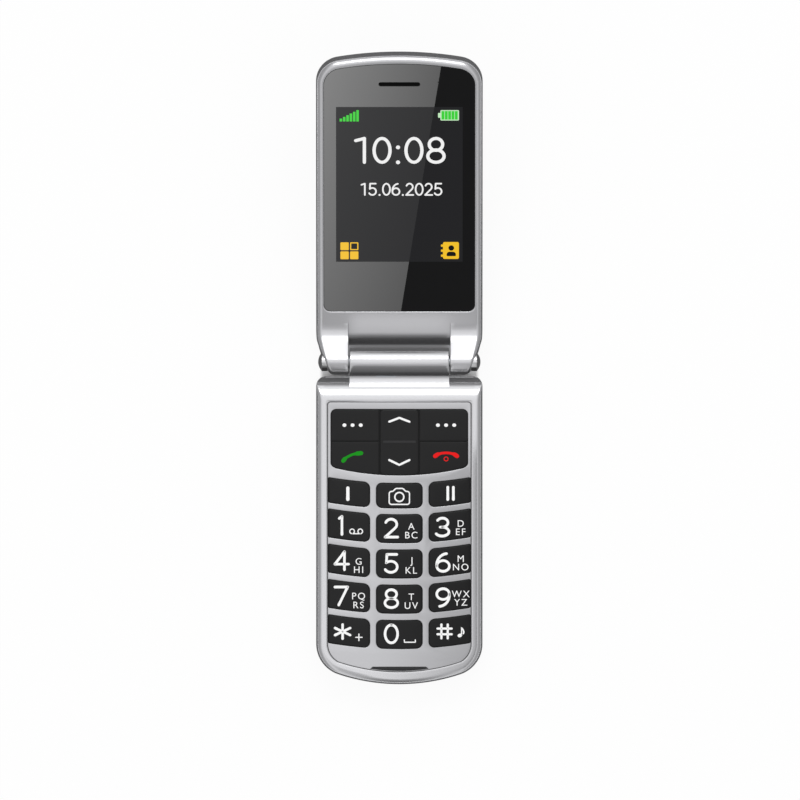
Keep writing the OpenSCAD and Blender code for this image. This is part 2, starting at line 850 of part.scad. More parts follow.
module main_board() {
    color(BOARD_GREEN) difference() {
        intersection() {
            slab(split_h, board_top) polygon(base_outline(base_wall + 0.5));
            box([-board_x, board_x], [base_bottom, board_y1], [split_h - 1, board_top + 1]);
        }
        screw_positions() slab(split_h - 1, board_top + 1) circle(boss_r + PART_GAP);
    }
}

module shield_cans() {
    can_t = 1.5;
    color(STEEL) {
        box([-bay_x + 1, -bay_x + 9], [bay_y0 + 1, bay_y0 + 9], [split_h - can_t, split_h]);
        box([-2, 2.5], [side_part_y - 6, board_y1], [split_h - can_t, split_h]);
    }
}

module sim_holder() {
    color(STEEL) box([-10, 5], [bay_y0 + 0.5, bay_y0 + 9.5], [split_h - 2, split_h]);
}

module usb_socket() {
    shell = 0.3;
    color(STEEL) difference() {
        box([half_w - usb_set - usb_l, half_w - usb_set], [usb_y - usb_w / 2, usb_y + usb_w / 2],
            [split_h - usb_h, split_h]);
        box([half_w - usb_l, half_w + 1], [usb_y - usb_w / 2 + shell, usb_y + usb_w / 2 - shell],
            [split_h - usb_h + shell, split_h - shell]);
    }
}

module loudspeaker() {
    rim = 2;
    color([0.12, 0.12, 0.13]) translate([side_part_x, side_part_y, 0]) difference() {
        slab(bay_z, split_h) circle(speaker_r);
        slab(bay_z - 1, bay_z + 0.5) circle(speaker_r - rim);
    }
}

module vibration_motor() {
    color(STEEL) rod(motor_x1 - motor_l, motor_x1, motor_r, motor_y, split_h - motor_r);
}

module microphone() {
    microphone_r = 1.8;
    color(STEEL) translate([0, base_bottom + base_wall + microphone_r + 1, 0])
        slab(board_top, board_top + 1) circle(microphone_r);
}

module emergency_key() {
    color([0.75, 0.1, 0.1]) at_emergency() {
        slab(sos_recess, sos_top) circle(sos_r);
        slab(bay_z - sos_rim + flange_gap, sos_top) circle(sos_r + sos_rim);
        slab(sos_top - EPS, sos_stem_top) circle(sos_stem_r);
    }
}

// The switch under the board that the emergency key's stem presses
module emergency_switch() {
    switch_half = 1.75;
    color(STEEL) at_emergency()
        box([-switch_half, switch_half], [-switch_half, switch_half],
            [sos_stem_top + sos_travel + mat_gap, split_h]);
}

// ---- Keypad layers ----

// A sheet under all the keys, notched round the screws' bosses
module key_sheet(inset, z0, z1) {
    difference() {
        box([-board_x + inset, board_x - inset], [axis_y - mat_end, axis_y - mat_start], [z0, z1]);
        screw_positions() slab(z0 - 1, z1 + 1) circle(boss_r + PART_GAP);
    }
}

module key_mat() {
    color(RUBBER_GREY) {
        key_sheet(0, mat_bottom, mat_top);
        for (p = PRESS_POINTS) translate(p) slab(dome_top, mat_bottom) circle(nub_r);
    }
}

module dome_sheet() {
    color(AMBER) {
        key_sheet(0.5, board_top, film_top);
        for (p = PRESS_POINTS) translate(p) slab(film_top, dome_top) circle(dome_r);
    }
}

// A key: a cap through the deck with a bevelled top, on a rim that stays under the deck
module plunger_key(k) {
    color(KEY_BLACK) {
        slab(key_bottom, flange_top) polygon(key_outline(k[1], k[2], -flange_w));
        intersection() {
            slab(flange_top - EPS, key_top + 1) polygon(key_outline(k[1], k[2], 0));
            hull() {
                slab(key_bottom, key_top - cap_bevel) polygon(key_outline(k[1], k[2], -BITE));
                slab(key_top - EPS, key_top)
                    polygon(key_outline(k[1], k[2], cap_bevel, outer_slant));
            }
        }
    }
}

// The cell of the navigation cluster that one key fills, at a height range
module nav_cell(x, y, z) {
    box([x[0] + nav_gap / 2, x[1] - nav_gap / 2], [y[0] + nav_gap / 2, y[1] - nav_gap / 2], z);
}

// The part of the cluster's bevelled cap in one cell, from height z0 up
module nav_cap(x, y, z0) {
    intersection() {
        hull() {
            slab(z0, key_top - cap_bevel) polygon(nav_outline(0));
            slab(key_top - EPS, key_top) polygon(nav_outline(cap_bevel));
        }
        nav_cell(x, y, [z0 - 1, key_top + 1]);
    }
}

module nav_key(k) {
    cross_y = axis_y - nav_start - nav_cross;
    x = k[1] < 0 ? [-half_w, -rocker_w / 2] : [rocker_w / 2, half_w];
    y = k[2] == 0 ? [cross_y, axis_y] : [axis_y - quick_start, cross_y];
    color(KEY_BLACK) {
        nav_cap(x, y, flange_top - EPS);
        intersection() {
            slab(key_bottom, flange_top) polygon(nav_outline(-flange_w));
            nav_cell(x, y, [key_bottom - 1, flange_top + 1]);
        }
    }
}

// The up and down rocker: a cap with a raised bar, a foot that stands on the key mat, and a
// rim that stays under the deck however far it tilts
module nav_rocker() {
    bar_h = 0.2;
    bar_half = 0.35;
    x = [-rocker_w / 2 + 1, rocker_w / 2 - 1];
    rim = [mat_top + rocker_swing + mat_gap, deck_bottom - rocker_swing - mat_gap];
    color(KEY_BLACK) {
        nav_cap([-rocker_w / 2, rocker_w / 2], [axis_y - quick_start, axis_y], rim[0]);
        intersection() {
            slab(rim[0], rim[1]) polygon(nav_outline(-flange_w));
            nav_cell([-rocker_w / 2, rocker_w / 2], [axis_y - quick_start, axis_y], rim);
        }
        box(x, [rocker_y - foot_half, rocker_y + foot_half], [mat_top + mat_gap, flange_top]);
        box(x, [rocker_y - bar_half, rocker_y + bar_half], [key_top - EPS, key_top + bar_h]);
    }
}

// ---- Hinge pieces ----

module hinge_cartridge() {
    color(STEEL) at_axis() difference() {
        rod(cartridge_x, barrel_x - PART_GAP, barrel_bore_r - FIT);
        rod(cartridge_x + 1, barrel_x + 1, spindle_r);
    }
}

module hinge_bush() {
    color(STEEL) at_axis() difference() {
        rod(-barrel_x + PART_GAP, -tube_in_x, barrel_bore_r - FIT);
        rod(-barrel_x - 1, -tube_in_x + 1, tube_r);
    }
}

module hinge_spindle() {
    color(STEEL) on_lid() {
        rod(cartridge_x + 1.2, ear_x + 1, spindle_r - FIT);
        rod(ear_x + EPS, ear_end_x, head_r - FIT);
    }
}

module hinge_tube() {
    color(STEEL) on_lid() difference() {
        union() {
            rod(-ear_x - 1, -tube_in_x - 0.5, tube_r - FIT);
            rod(-ear_end_x + 0.5, -ear_x - EPS, head_r - FIT);
        }
        rod(-ear_end_x - 1, -tube_in_x + 1, tube_r - tube_wall);
    }
}

// Rolled end of the base's flex cable inside the barrel, and its ribbon to the main board
module base_flex() {
    color(AMBER) at_axis() {
        rod(base_flex_x[0], base_flex_x[1], flex_r);
        box(base_flex_x, [-base_flex_reach - 1, 0], [-base_flex_drop, -base_flex_drop + flex_t]);
    }
}

// Rolled end of the lid's flex cable inside the tube, and its ribbon to the lid's board
module lid_flex() {
    flex_half = 1;
    color(AMBER) on_lid() {
        rod(-flex_end_x, -tube_in_x, flex_r);
        box([-flex_end_x, -flex_end_x + flex_t], [-flex_half, flex_half], [lid_board_top, 0]);
        box([-flex_end_x, -flex_end_x + flex_w], [-flex_half, lid_cavity_start + 3],
            [lid_board_top, lid_board_top + flex_t]);
    }
}

// Domed caps that close the ears' bores and stand a little proud of them
module hinge_end_caps() {
    color(BRIGHT) on_lid() both_sides() intersection() {
        rod(cap_seat_x, cap_end_x, cap_r);
        translate([cap_end_x - cap_dome_r, 0, 0]) sphere(cap_dome_r);
    }
}

// ---- Lid forms, in the lid's frame ----

// Side profile of the lid through an ear; it runs past the outer face, which the hull gives
module lid_side_profile() {
    wrap_c = [wrap_r - ear_r, lid_out + wrap_r - BITE];
    far = lid_end + 1;
    difference() {
        union() {
            circle(ear_r);
            polygon([
                [-ear_r, 0], [-ear_r, wrap_c.y], [wrap_c.x, lid_out - BITE],
                [wrap_c.x, lid_out - 1], [far, lid_out - 1], [far, lid_in],
                [ramp_u, lid_in], ramp_foot, ear_r * ramp_n
            ]);
            intersection() {
                translate(wrap_c) circle(wrap_r);
                translate([-ear_r - 1, lid_out - 1]) square([wrap_r + 1, wrap_r + 1]);
            }
        }
        translate([ramp_u, ramp_v]) circle(ramp_r);
    }
}

// What the middle of the lid leaves free for the barrel and its block
module barrel_room_profile() {
    room_r = barrel_r + 0.5;
    brow_end = 3.5;
    brow_drop = sag(brow_r, brow_start - brow_end);
    far_up = ear_r + 2;
    circle(room_r);
    translate([-ear_r - 2, lid_out - 1]) square([ear_r, lid_t + far_up + 9]);
    difference() {
        translate([-ear_r - 2, lid_in - brow_drop])
            square([brow_start + ear_r + 2, brow_drop + far_up + 5]);
        translate([brow_start, lid_in - brow_r]) circle(brow_r);
    }
}

// A stretch of the lid along its length, between two heights
module lid_span(u0, u1) {
    box([-half_w - 1, half_w + 1], [u0, u1], [lid_out - 1, ear_r + 1]);
}

// The lid's round-edged body above the parting line
module lid_rim_hull() {
    hull() {
        slab(lid_mid - 1, lid_mid) polygon(lid_outline(0));
        for (l = edge_layers(lid_rim_w, lid_rim_h))
            slab(lid_in - l[1] - EPS, lid_in - l[1]) polygon(lid_outline(l[0]));
    }
}

// The same body at the ears, whose sides draw in towards their crests
module lid_ear_hull() {
    hull() {
        slab(lid_mid - 1, lid_in - lid_rim_h) polygon(lid_outline(0));
        slab(lid_in, lid_in + EPS) polygon(lid_outline(ear_draw[0]));
        slab(0, EPS) polygon(lid_outline(ear_draw[1]));
        slab(ear_r, ear_r + EPS) polygon(lid_outline(ear_draw[2]));
    }
}

module lid_back_hull() {
    hull() {
        for (l = edge_layers(lid_back_w, lid_back_h))
            slab(lid_out + l[1], lid_out + l[1] + EPS) polygon(lid_outline(l[0]));
        slab(lid_mid, lid_mid + 1) polygon(lid_outline(0));
    }
}

// The side profile between two heights
module lid_profile_band(z0, z1) {
    intersection() {
        lid_side_profile();
        translate([-ear_r - 1, z0]) square([lid_end + ear_r + 3, z1 - z0]);
    }
}

module lid_front_form() {
    difference() {
        intersection() {
            union() {
                intersection() {
                    lid_rim_hull();
                    lid_span(ramp_u, lid_end + 1);
                }
                intersection() {
                    lid_ear_hull();
                    lid_span(-ear_r - 1, ramp_u);
                }
            }
            across(-half_w - 1, half_w + 1) lid_profile_band(lid_mid, ear_r + 1);
        }
        across(-ear_x, ear_x) barrel_room_profile();
    }
}

module lid_back_form() {
    difference() {
        intersection() {
            lid_back_hull();
            across(-half_w - 1, half_w + 1) lid_profile_band(lid_out - 1, lid_mid);
        }
        across(-ear_x, ear_x) barrel_room_profile();
    }
}

// The display window's outline, grown by a clearance
module lens_outline(grow) {
    x = lens_w / 2 + grow;
    y0 = lens_start - grow;
    intersection() {
        polygon(rounded([
            [-x, y0, lens_r], [-x, lid_end, 0], [x, lid_end, 0], [x, y0, lens_r]
        ]));
        polygon(lid_outline(lens_margin - grow));
    }
}

// Room inside the lid between its two walls
module lid_cavity(z0, z1) {
    intersection() {
        slab(z0, z1) polygon(lid_outline(lid_side_t));
        box([-half_w, half_w], [lid_cavity_start, lid_end], [z0 - 1, z1 + 1]);
    }
}

module screen_box(grow, z) {
    box([-screen_w / 2 - grow, screen_w / 2 + grow],
        [screen_start - grow, screen_start + screen_l + grow], z);
}

// Rounded bar across the lid
module slot_shape(grow, z0, z1) {
    translate([0, slot_reach, 0]) slab(z0, z1) {
        r = slot_h / 2 + grow;
        both_sides() translate([slot_w / 2 - slot_h / 2, 0]) circle(r);
        square([slot_w - slot_h, 2 * r], center = true);
    }
}

// Path of the lid's flex cable from the ear's bore down into the cavity
module lid_flex_room() {
    room_half = 1.2;
    box([-ear_end_x, -flex_end_x + flex_t + PART_GAP], [-room_half, room_half],
        [lid_board_top - PART_GAP, 0]);
    box([-ear_end_x, -flex_end_x + flex_w + PART_GAP], [-room_half, lid_cavity_start + 1],
        [lid_board_top - PART_GAP, lid_mid + EPS]);
}

module lid_front_housing() {
    color(SILVER) on_lid() difference() {
        lid_front_form();
        slab(lens_bottom, lid_in + 1) lens_outline(FIT);
        lid_cavity(lid_mid - EPS, module_top);
        screen_box(ledge_gap, [module_top - 1, lens_bottom + EPS]);
        slot_shape(ledge_gap, module_top - 1, lens_bottom + EPS);
        both_sides() rod(ear_x - 1, ear_end_x, head_r);
        both_sides() rod(cap_seat_x, half_w + 1, cap_r + FIT);
        lid_flex_room();
    }
}

module lid_rear_housing() {
    color(SILVER) on_lid() difference() {
        lid_back_form();
        lid_cavity(lid_floor, lid_mid + EPS);
        camera_place(-1, lid_wall + 1) circle(camera_r + FIT);
        outer_recess(FIT, -1, window_t);
        outer_recess(-window_rim, 0, lid_wall + 1);
        lid_flex_room();
    }
}

// Children as a slab at the camera's place, by depth below the outer face
module camera_place(d0, d1) {
    translate([0, camera_reach, 0]) slab(lid_out + d0, lid_out + d1) children();
}

// Rounded rectangle of the outer window, by depth below the outer face
module outer_recess(grow, d0, d1) {
    x = outer_w / 2 + grow;
    y0 = outer_start - grow;
    y1 = outer_start + outer_l + grow;
    slab(lid_out + d0, lid_out + d1)
        polygon(rounded([for (p = [[-x, y0], [-x, y1], [x, y1], [x, y0]]) [p.x, p.y, window_r]]));
}

// ---- Lid pieces ----

module display_window() {
    color(GLOSS_BLACK) on_lid() difference() {
        slab(lens_bottom, lens_top) lens_outline(0);
        slot_shape(0, lens_bottom - 1, lens_top + 1);
    }
}

module display_gasket() {
    color(RUBBER_GREY) on_lid() difference() {
        screen_box(ledge_gap - FIT, [module_top, lens_bottom]);
        screen_box(-0.6, [module_top - 1, lens_bottom + 1]);
    }
}

module display_module() {
    color([0.23, 0.23, 0.24]) on_lid()
        screen_box(module_rim, [module_bottom, module_top]);
}

module earpiece() {
    color([0.12, 0.12, 0.13]) on_lid() translate([0, slot_reach, 0]) {
        slab(module_bottom, module_top) square([13, 5], center = true);
    }
}

module earpiece_mesh() {
    color([0.2, 0.2, 0.2]) on_lid() slot_shape(ledge_gap - FIT, module_top, lens_bottom);
}

module lid_board() {
    color(BOARD_GREEN) on_lid()
        box([-screen_w / 2, screen_w / 2], [lid_cavity_start + 1, lens_end - 4],
            [lid_board_bottom, lid_board_top]);
}

module lid_magnet() {
    color(STEEL) on_lid() translate([half_w - 6, lid_end - 12, 0])
        slab(lid_floor, lid_board_bottom) circle(magnet_r);
}

module camera_module() {
    barrel = camera_r - 0.6;
    color(GLOSS_BLACK) on_lid() {
        camera_place(window_t, lid_wall + PART_GAP) circle(barrel);
        camera_place(lid_wall + PART_GAP - EPS, back_part_t) square(2 * barrel, center = true);
    }
}

module camera_window() {
    color(GLOSS_BLACK) on_lid() camera_place(window_set, window_t) circle(camera_r);
}

module outer_window() {
    color(GLOSS_BLACK) on_lid() outer_recess(0, window_set, window_t);
}

module outer_display() {
    color([0.2, 0.2, 0.22]) on_lid() outer_recess(-window_rim - FIT, window_t, back_part_t);
}

base_front_housing();
keypad_faceplate();
base_rear_housing();
lid_rest_pad();
key_mat();
dome_sheet();
main_board();
shield_cans();
sim_holder();
usb_socket();
loudspeaker();
vibration_motor();
microphone();
antenna_carrier();
battery();
battery_contacts();
battery_cover();
base_screws();
emergency_key();
emergency_switch();
nav_rocker();
for (k = NAV_KEYS) nav_key(k);
for (k = KEYPAD) plunger_key(k);
hinge_cartridge();
hinge_bush();
base_flex();
hinge_spindle();
hinge_tube();
hinge_end_caps();
lid_flex();
lid_front_housing();
lid_rear_housing();
display_window();
display_module();
display_gasket();
earpiece();
earpiece_mesh();
lid_board();
lid_magnet();
camera_module();
camera_window();
outer_display();
outer_window();
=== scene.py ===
"""Dresses a clamshell phone with large keys, open at 160 degrees and lying on its back.

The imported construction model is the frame. Each sub-assembly is a class that works out its own
surfaces and gives them their finishes. Lengths are millimetres until a mesh is made.
"""
import logging
import math
from dataclasses import dataclass, field, replace
from enum import Enum
from functools import partial
from typing import Any, Callable, Iterable, Sequence

import bpy
import numpy as np
from mathutils import Matrix, Vector


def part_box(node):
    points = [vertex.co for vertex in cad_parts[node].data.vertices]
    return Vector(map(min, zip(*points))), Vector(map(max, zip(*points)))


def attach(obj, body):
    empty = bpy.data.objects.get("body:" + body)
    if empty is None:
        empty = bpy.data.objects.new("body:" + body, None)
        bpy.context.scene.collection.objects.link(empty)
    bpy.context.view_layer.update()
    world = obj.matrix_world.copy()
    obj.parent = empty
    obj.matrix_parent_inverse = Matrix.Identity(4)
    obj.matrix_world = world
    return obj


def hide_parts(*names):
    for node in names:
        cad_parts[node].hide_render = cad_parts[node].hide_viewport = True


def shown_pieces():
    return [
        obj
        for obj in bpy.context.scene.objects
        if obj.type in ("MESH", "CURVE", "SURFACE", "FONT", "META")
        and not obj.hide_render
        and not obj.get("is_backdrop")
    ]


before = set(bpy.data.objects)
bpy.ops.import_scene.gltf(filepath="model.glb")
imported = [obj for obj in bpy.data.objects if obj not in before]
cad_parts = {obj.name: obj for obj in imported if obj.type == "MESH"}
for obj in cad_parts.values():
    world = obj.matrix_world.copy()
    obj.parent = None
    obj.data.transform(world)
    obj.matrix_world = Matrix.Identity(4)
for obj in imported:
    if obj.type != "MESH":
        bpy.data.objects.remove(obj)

LOG = logging.getLogger("phone")
MM = 0.001
OVERCUT = 1.0  # how far a cutting shape reaches past the face that it cuts
TOUCH = 1e-6  # heights closer than this are taken for the same
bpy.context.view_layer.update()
Triple = tuple[float, float, float]
Shape = tuple[np.ndarray, list[Any]]  # points and faces
Piece, Tree, Socket = bpy.types.Object, bpy.types.NodeTree, bpy.types.NodeSocket


# ---- Finishes ----


def linear(code: str) -> tuple[float, float, float, float]:
    """Turns an sRGB hex colour into linear RGBA.

    Args:
        code: six hex digits, such as "c0c0c4".

    Returns:
        The four linear components, with alpha 1.
    """
    values = [int(code[i:i + 2], 16) / 255 for i in (0, 2, 4)]
    red, green, blue = (v / 12.92 if v <= 0.04045 else ((v + 0.055) / 1.055) ** 2.4 for v in values)
    return (red, green, blue, 1.0)


def add_node(tree: Tree, kind: str, links: dict[str, Any] | None = None,
             inputs: dict[str, Any] | None = None, **settings: Any) -> bpy.types.Node:
    """Adds one node to a tree, with its settings, constants and incoming links.

    Args:
        tree: the node tree.
        kind: the node's type name.
        links: output sockets by the name of the input that they feed.
        inputs: constants by the name of their input.
        settings: attributes of the node itself.

    Returns:
        The new node.
    """
    node = tree.nodes.new(kind)
    for key, value in settings.items():
        setattr(node, key, value)
    for key, value in (inputs or {}).items():
        node.inputs[key].default_value = value
    for key, socket in (links or {}).items():
        tree.links.new(socket, node.inputs[key])
    return node


def maths(tree: Tree, operation: str, *values: Any) -> Socket:
    """Adds a math node and returns its result.

    Args:
        tree: the node tree.
        operation: what the node works out, such as "MULTIPLY".
        values: an output socket or a number for each input.

    Returns:
        The node's output socket.
    """
    node = add_node(tree, "ShaderNodeMath", operation=operation)
    for socket, value in zip(node.inputs, values):
        if isinstance(value, Socket):
            tree.links.new(value, socket)
        else:
            socket.default_value = value
    return node.outputs[0]


def own_place(tree: Tree) -> Socket:
    """Adds the coordinates of each piece's own frame, which ride with it."""
    return add_node(tree, "ShaderNodeTexCoord").outputs["Object"]


def blank_material(name: str) -> bpy.types.Material:
    """Returns a new material whose node tree is empty."""
    made = bpy.data.materials.new(name)
    made.use_nodes = True
    made.node_tree.nodes.clear()
    return made


TONE_SPAN = (0.35, 0.65)  # the grain's values between which the colour shifts
ROUGH_SPAN = (0.3, 0.7)  # and those between which the roughness does
RELIEF = 0.02  # height of the grain's bumps at full strength, in millimetres
CELL = 0.2  # pitch of the display's cells in millimetres
CELL_SHADE = 0.94  # how bright every second cell is, beside the others


@dataclass(frozen=True)
class Finish:
    """A procedural surface: a shader's constants and a fine grain that varies and embosses it.

    The grain is a noise on Object coordinates whose size is given in millimetres. It shifts the
    colour between two tones and lifts the surface by a small bump.
    """

    name: str
    colour: str
    second: str
    roughness: float
    metallic: float = 0.0
    ior: float = 1.5
    grain_mm: float = 0.4
    stretch: Triple = (1.0, 1.0, 1.0)
    bump: float = 0.1
    rough_swing: float = 0.05

    def material(self) -> bpy.types.Material:
        """Returns the finish's material, made on the first call and shared afterwards."""
        found = bpy.data.materials.get(self.name)
        if found:
            return found
        made = blank_material(self.name)
        tree = made.node_tree
        turned = add_node(tree, "ShaderNodeMapping", {"Vector": own_place(tree)},
                          {"Scale": self.stretch})
        grain = add_node(tree, "ShaderNodeTexNoise", {"Vector": turned.outputs["Vector"]},
                         {"Scale": 1 / (self.grain_mm * MM), "Detail": 3.0, "Roughness": 0.6})
        tone = add_node(tree, "ShaderNodeValToRGB", {"Fac": grain.outputs["Fac"]})
        first, last = tone.color_ramp.elements
        first.position, last.position = TONE_SPAN
        first.color, last.color = linear(self.colour), linear(self.second)
        rough = add_node(tree, "ShaderNodeMapRange", {"Value": grain.outputs["Fac"]},
                         {"From Min": ROUGH_SPAN[0], "From Max": ROUGH_SPAN[1],
                          "To Min": max(self.roughness - self.rough_swing, 0.0),
                          "To Max": self.roughness + self.rough_swing})
        relief = add_node(tree, "ShaderNodeBump", {"Height": grain.outputs["Fac"]},
                          {"Strength": self.bump, "Distance": RELIEF * MM})
        shader = add_node(tree, "ShaderNodeBsdfPrincipled",
                          {"Base Color": tone.outputs["Color"], "Roughness": rough.outputs["Result"],
                           "Normal": relief.outputs["Normal"]},
                          {"Metallic": self.metallic, "IOR": self.ior})
        add_node(tree, "ShaderNodeOutputMaterial", {"Surface": shader.outputs["BSDF"]})
        return made


# Metallic lacquer sprayed on moulded ABS: fine flakes give a satin sheen with a slight sparkle
SATIN_SILVER = Finish("satin_silver_lacquer_on_abs", "cfcfd2", "d3d3d6", 0.24, metallic=0.94,
                      grain_mm=0.15, bump=0.012, rough_swing=0.015)
# The same lacquer, polished where the rim runs round the keypad
BRIGHT_SILVER = Finish("bright_silver_lacquer_on_abs", "d8d8db", "dcdcdf", 0.18, metallic=0.95,
                       grain_mm=0.15, bump=0.01, rough_swing=0.015)
# Sprayed aluminium-look plate under the keys, a little rougher than the rim
PLATE_SILVER = Finish("satin_silver_keypad_plate", "c5c5c8", "cbcbce", 0.3, metallic=0.92,
                      grain_mm=0.12, bump=0.02, rough_swing=0.02)
# Vacuum-plated ABS of the hinge caps
CHROME = Finish("vacuum_plated_abs", "dcdcde", "e4e4e6", 0.08, metallic=1.0, grain_mm=1.0,
                bump=0.01, rough_swing=0.02)
# Soft-touch polycarbonate key caps: near black with a broad, weak sheen
KEY_BLACK = Finish("soft_touch_black_keys", "121213", "151516", 0.4, ior=1.33, grain_mm=0.1,
                   bump=0.08)
# Moulded black ABS; under the faceplate its near black also stands in for painted shade in the key wells
BLACK_ABS_AND_WELL_SHADE = Finish("moulded_black_abs_and_well_shade", "0c0c0d", "111112", 0.6, ior=1.4, grain_mm=0.2)
# Hard-coated acrylic window, printed black from behind: mirror smooth
GLOSS_BLACK = Finish("hard_coated_black_acrylic", "0b0b0c", "0c0c0d", 0.0, ior=1.3,
                     grain_mm=4.0, bump=0.0, rough_swing=0.0)
# Silk-screened inks on the keys
WHITE_INK = Finish("white_screen_ink", "f2f2f2", "fafafa", 0.5, grain_mm=0.1, bump=0.05)
GREEN_INK = Finish("green_screen_ink", "0c8a10", "0e9212", 0.6, ior=1.2, grain_mm=0.1, bump=0.05)
RED_INK = Finish("red_screen_ink", "e00c0c", "ea1010", 0.6, ior=1.2, grain_mm=0.1, bump=0.05)
# Woven mesh behind the earpiece slot
MESH_BLACK = Finish("woven_black_mesh", "040404", "0c0c0c", 0.9, ior=1.15, grain_mm=0.12, bump=0.2)
# Grey thermoplastic rubber of the pad and the bar
SOFT_GREY = Finish("soft_grey_rubber", "1e1e20", "252527", 0.65, ior=1.45, grain_mm=0.25,
                   bump=0.2)


@dataclass(frozen=True)
class Backlight:
    """A lit area of the display: it glows in its own colour behind a smooth cover."""

    name: str
    colour: str

    def material(self) -> bpy.types.Material:
        """Returns the lit area's material, made on the first call and shared afterwards."""
        found = bpy.data.materials.get(self.name)
        if found:
            return found
        made = blank_material(self.name)
        tree = made.node_tree
        tone = linear(self.colour)
        shade = (*(CELL_SHADE * c for c in tone[:3]), 1.0)
        cells = add_node(tree, "ShaderNodeTexChecker", {"Vector": own_place(tree)},
                         {"Scale": 1 / (CELL * MM), "Color1": tone, "Color2": shade})
        shader = add_node(tree, "ShaderNodeBsdfPrincipled",
                          {"Emission Color": cells.outputs["Color"]},
                          {"Base Color": linear("080808"), "Roughness": 0.0, "IOR": 1.11,
                           "Emission Strength": 1.0})
        add_node(tree, "ShaderNodeOutputMaterial", {"Surface": shader.outputs["BSDF"]})
        return made


SCREEN_GREY = Backlight("display_background", "222224")
SCREEN_WHITE = Backlight("display_white", "f4f4f4")
SCREEN_GREEN = Backlight("display_green", "3fd23c")
SCREEN_PALE = Backlight("display_pale_green", "c4ecc0")
SCREEN_YELLOW = Backlight("display_yellow", "f5c22c")
SCREEN_BLACK = Backlight("display_black", "141414")


# ---- Building blocks ----


def spokes(start: float, end: float, count: int) -> np.ndarray:
    """Returns unit vectors at evenly spaced angles in degrees, both ends included."""
    a = np.radians(np.linspace(start, end, count))
    return np.stack([np.cos(a), np.sin(a)], axis=1)


def arc(centre: Sequence[float], radius: float, start: float, end: float,
        count: int) -> np.ndarray:
    """Returns count points of an arc, from the start angle towards the end angle in degrees.

    Args:
        centre: the arc's centre.
        radius: its radius.
        start: first angle.
        end: last angle, which is included.
        count: how many points.

    Returns:
        An array of shape (count, 2): centre + radius * (cos, sin) of evenly spaced angles.
    """
    return np.asarray(centre) + radius * spokes(start, end, count)


def circle(x: float, y: float, radius: float, count: int) -> np.ndarray:
    """Returns count points round a circle, anticlockwise from its right."""
    return arc((x, y), radius, 0, 360, count + 1)[:-1]


def line(start: Sequence[float], end: Sequence[float], count: int) -> np.ndarray:
    """Returns count points strictly between two points, evenly spaced."""
    t = np.arange(1, count + 1)[:, None] / (count + 1)
    return np.asarray(start) * (1 - t) + np.asarray(end) * t


def joined(pieces: Sequence[np.ndarray], per_line: Sequence[int]) -> np.ndarray:
    """Joins arcs into one closed outline, with straight runs between them.

    Args:
        pieces: arcs in order.
        per_line: points added on the straight run after each arc.

    Returns:
        The closed outline's points, in order.
    """
    parts: list[np.ndarray] = []
    for i, piece in enumerate(pieces):
        following = pieces[(i + 1) % len(pieces)]
        parts += [piece, line(piece[-1], following[0], per_line[i])]
    return np.concatenate(parts)


def rounded_rect(x0: float, x1: float, y0: float, y1: float, radii: Sequence[float],
                 corner: int = 7, edge: int = 9) -> np.ndarray:
    """Returns a rounded rectangle, anticlockwise from the right edge's lower end.

    Args:
        x0, x1, y0, y1: its sides.
        radii: of the lower right, upper right, upper left and lower left corners.
        corner: points in each corner.
        edge: points between two corners.

    Returns:
        An array of points, always 4 * (corner + edge) of them.
    """
    r = [max(v, 0.02) for v in radii]
    corners = [
        arc((x1 - r[0], y0 + r[0]), r[0], -90, 0, corner),
        arc((x1 - r[1], y1 - r[1]), r[1], 0, 90, corner),
        arc((x0 + r[2], y1 - r[2]), r[2], 90, 180, corner),
        arc((x0 + r[3], y0 + r[3]), r[3], 180, 270, corner),
    ]
    return joined(corners, [edge] * 4)


def sag(radius: float, x: np.ndarray | float) -> np.ndarray | float:
    """Returns how far an arc has risen at distance x from its lowest point."""
    return radius - np.sqrt(radius * radius - np.asarray(x) ** 2)


def quarter(width: float, height: float, count: int) -> np.ndarray:
    """Returns an elliptical edge rounding as pairs of inset and drop.

    It runs from the side (inset 0, full drop) to the face (full inset, no drop):
    inset = width * (1 - cos a), drop = height * (1 - sin a), for a from 0 to 90 degrees.
    """
    a = np.linspace(0, math.pi / 2, count)
    return np.stack([width * (1 - np.cos(a)), height * (1 - np.sin(a))], axis=1)


class Loft:
    """Collects rings of points and skins them into one mesh with quads and flat caps."""

    def __init__(self) -> None:
        """Starts an empty mesh."""
        self.points: list[np.ndarray] = []
        self.faces: list[Any] = []
        self.count = 0

    def add(self, rings: np.ndarray, caps: tuple[bool, bool] = (True, True),
            loop: bool = False, flip: bool = False) -> "Loft":
        """Skins rings that close on themselves: ring k joins ring k + 1 point by point.

        Args:
            rings: an array of shape (rings, points, 3).
            caps: whether the first and the last ring are closed by a flat face.
            loop: whether the last ring joins the first.
            flip: turns the faces over.

        Returns:
            The loft itself, so that calls can follow each other.
        """
        k, n = rings.shape[:2]
        base = self.count
        index = base + np.arange(k * n).reshape(k, n)
        rows = np.concatenate([index, index[:1]]) if loop else index
        cols = np.concatenate([rows, rows[:, :1]], axis=1)
        quads = np.stack([cols[:-1, :-1], cols[:-1, 1:], cols[1:, 1:], cols[1:, :-1]], axis=-1)
        quads = quads.reshape(-1, 4)
        self.faces += (quads[:, ::-1] if flip else quads).tolist()
        if caps[0]:
            self.faces.append(list(index[0] if flip else index[0][::-1]))
        if caps[1]:
            self.faces.append(list(index[-1][::-1] if flip else index[-1]))
        self.points.append(rings.reshape(-1, 3))
        self.count += k * n
        return self

    def take(self, points: np.ndarray, faces: list[Any]) -> None:
        """Adds points and faces that were made elsewhere."""
        self.faces += [[v + self.count for v in face] for face in faces]
        self.points.append(points)
        self.count += len(points)

    def data(self) -> Shape:
        """Returns the points and faces collected so far."""
        return np.concatenate(self.points), self.faces


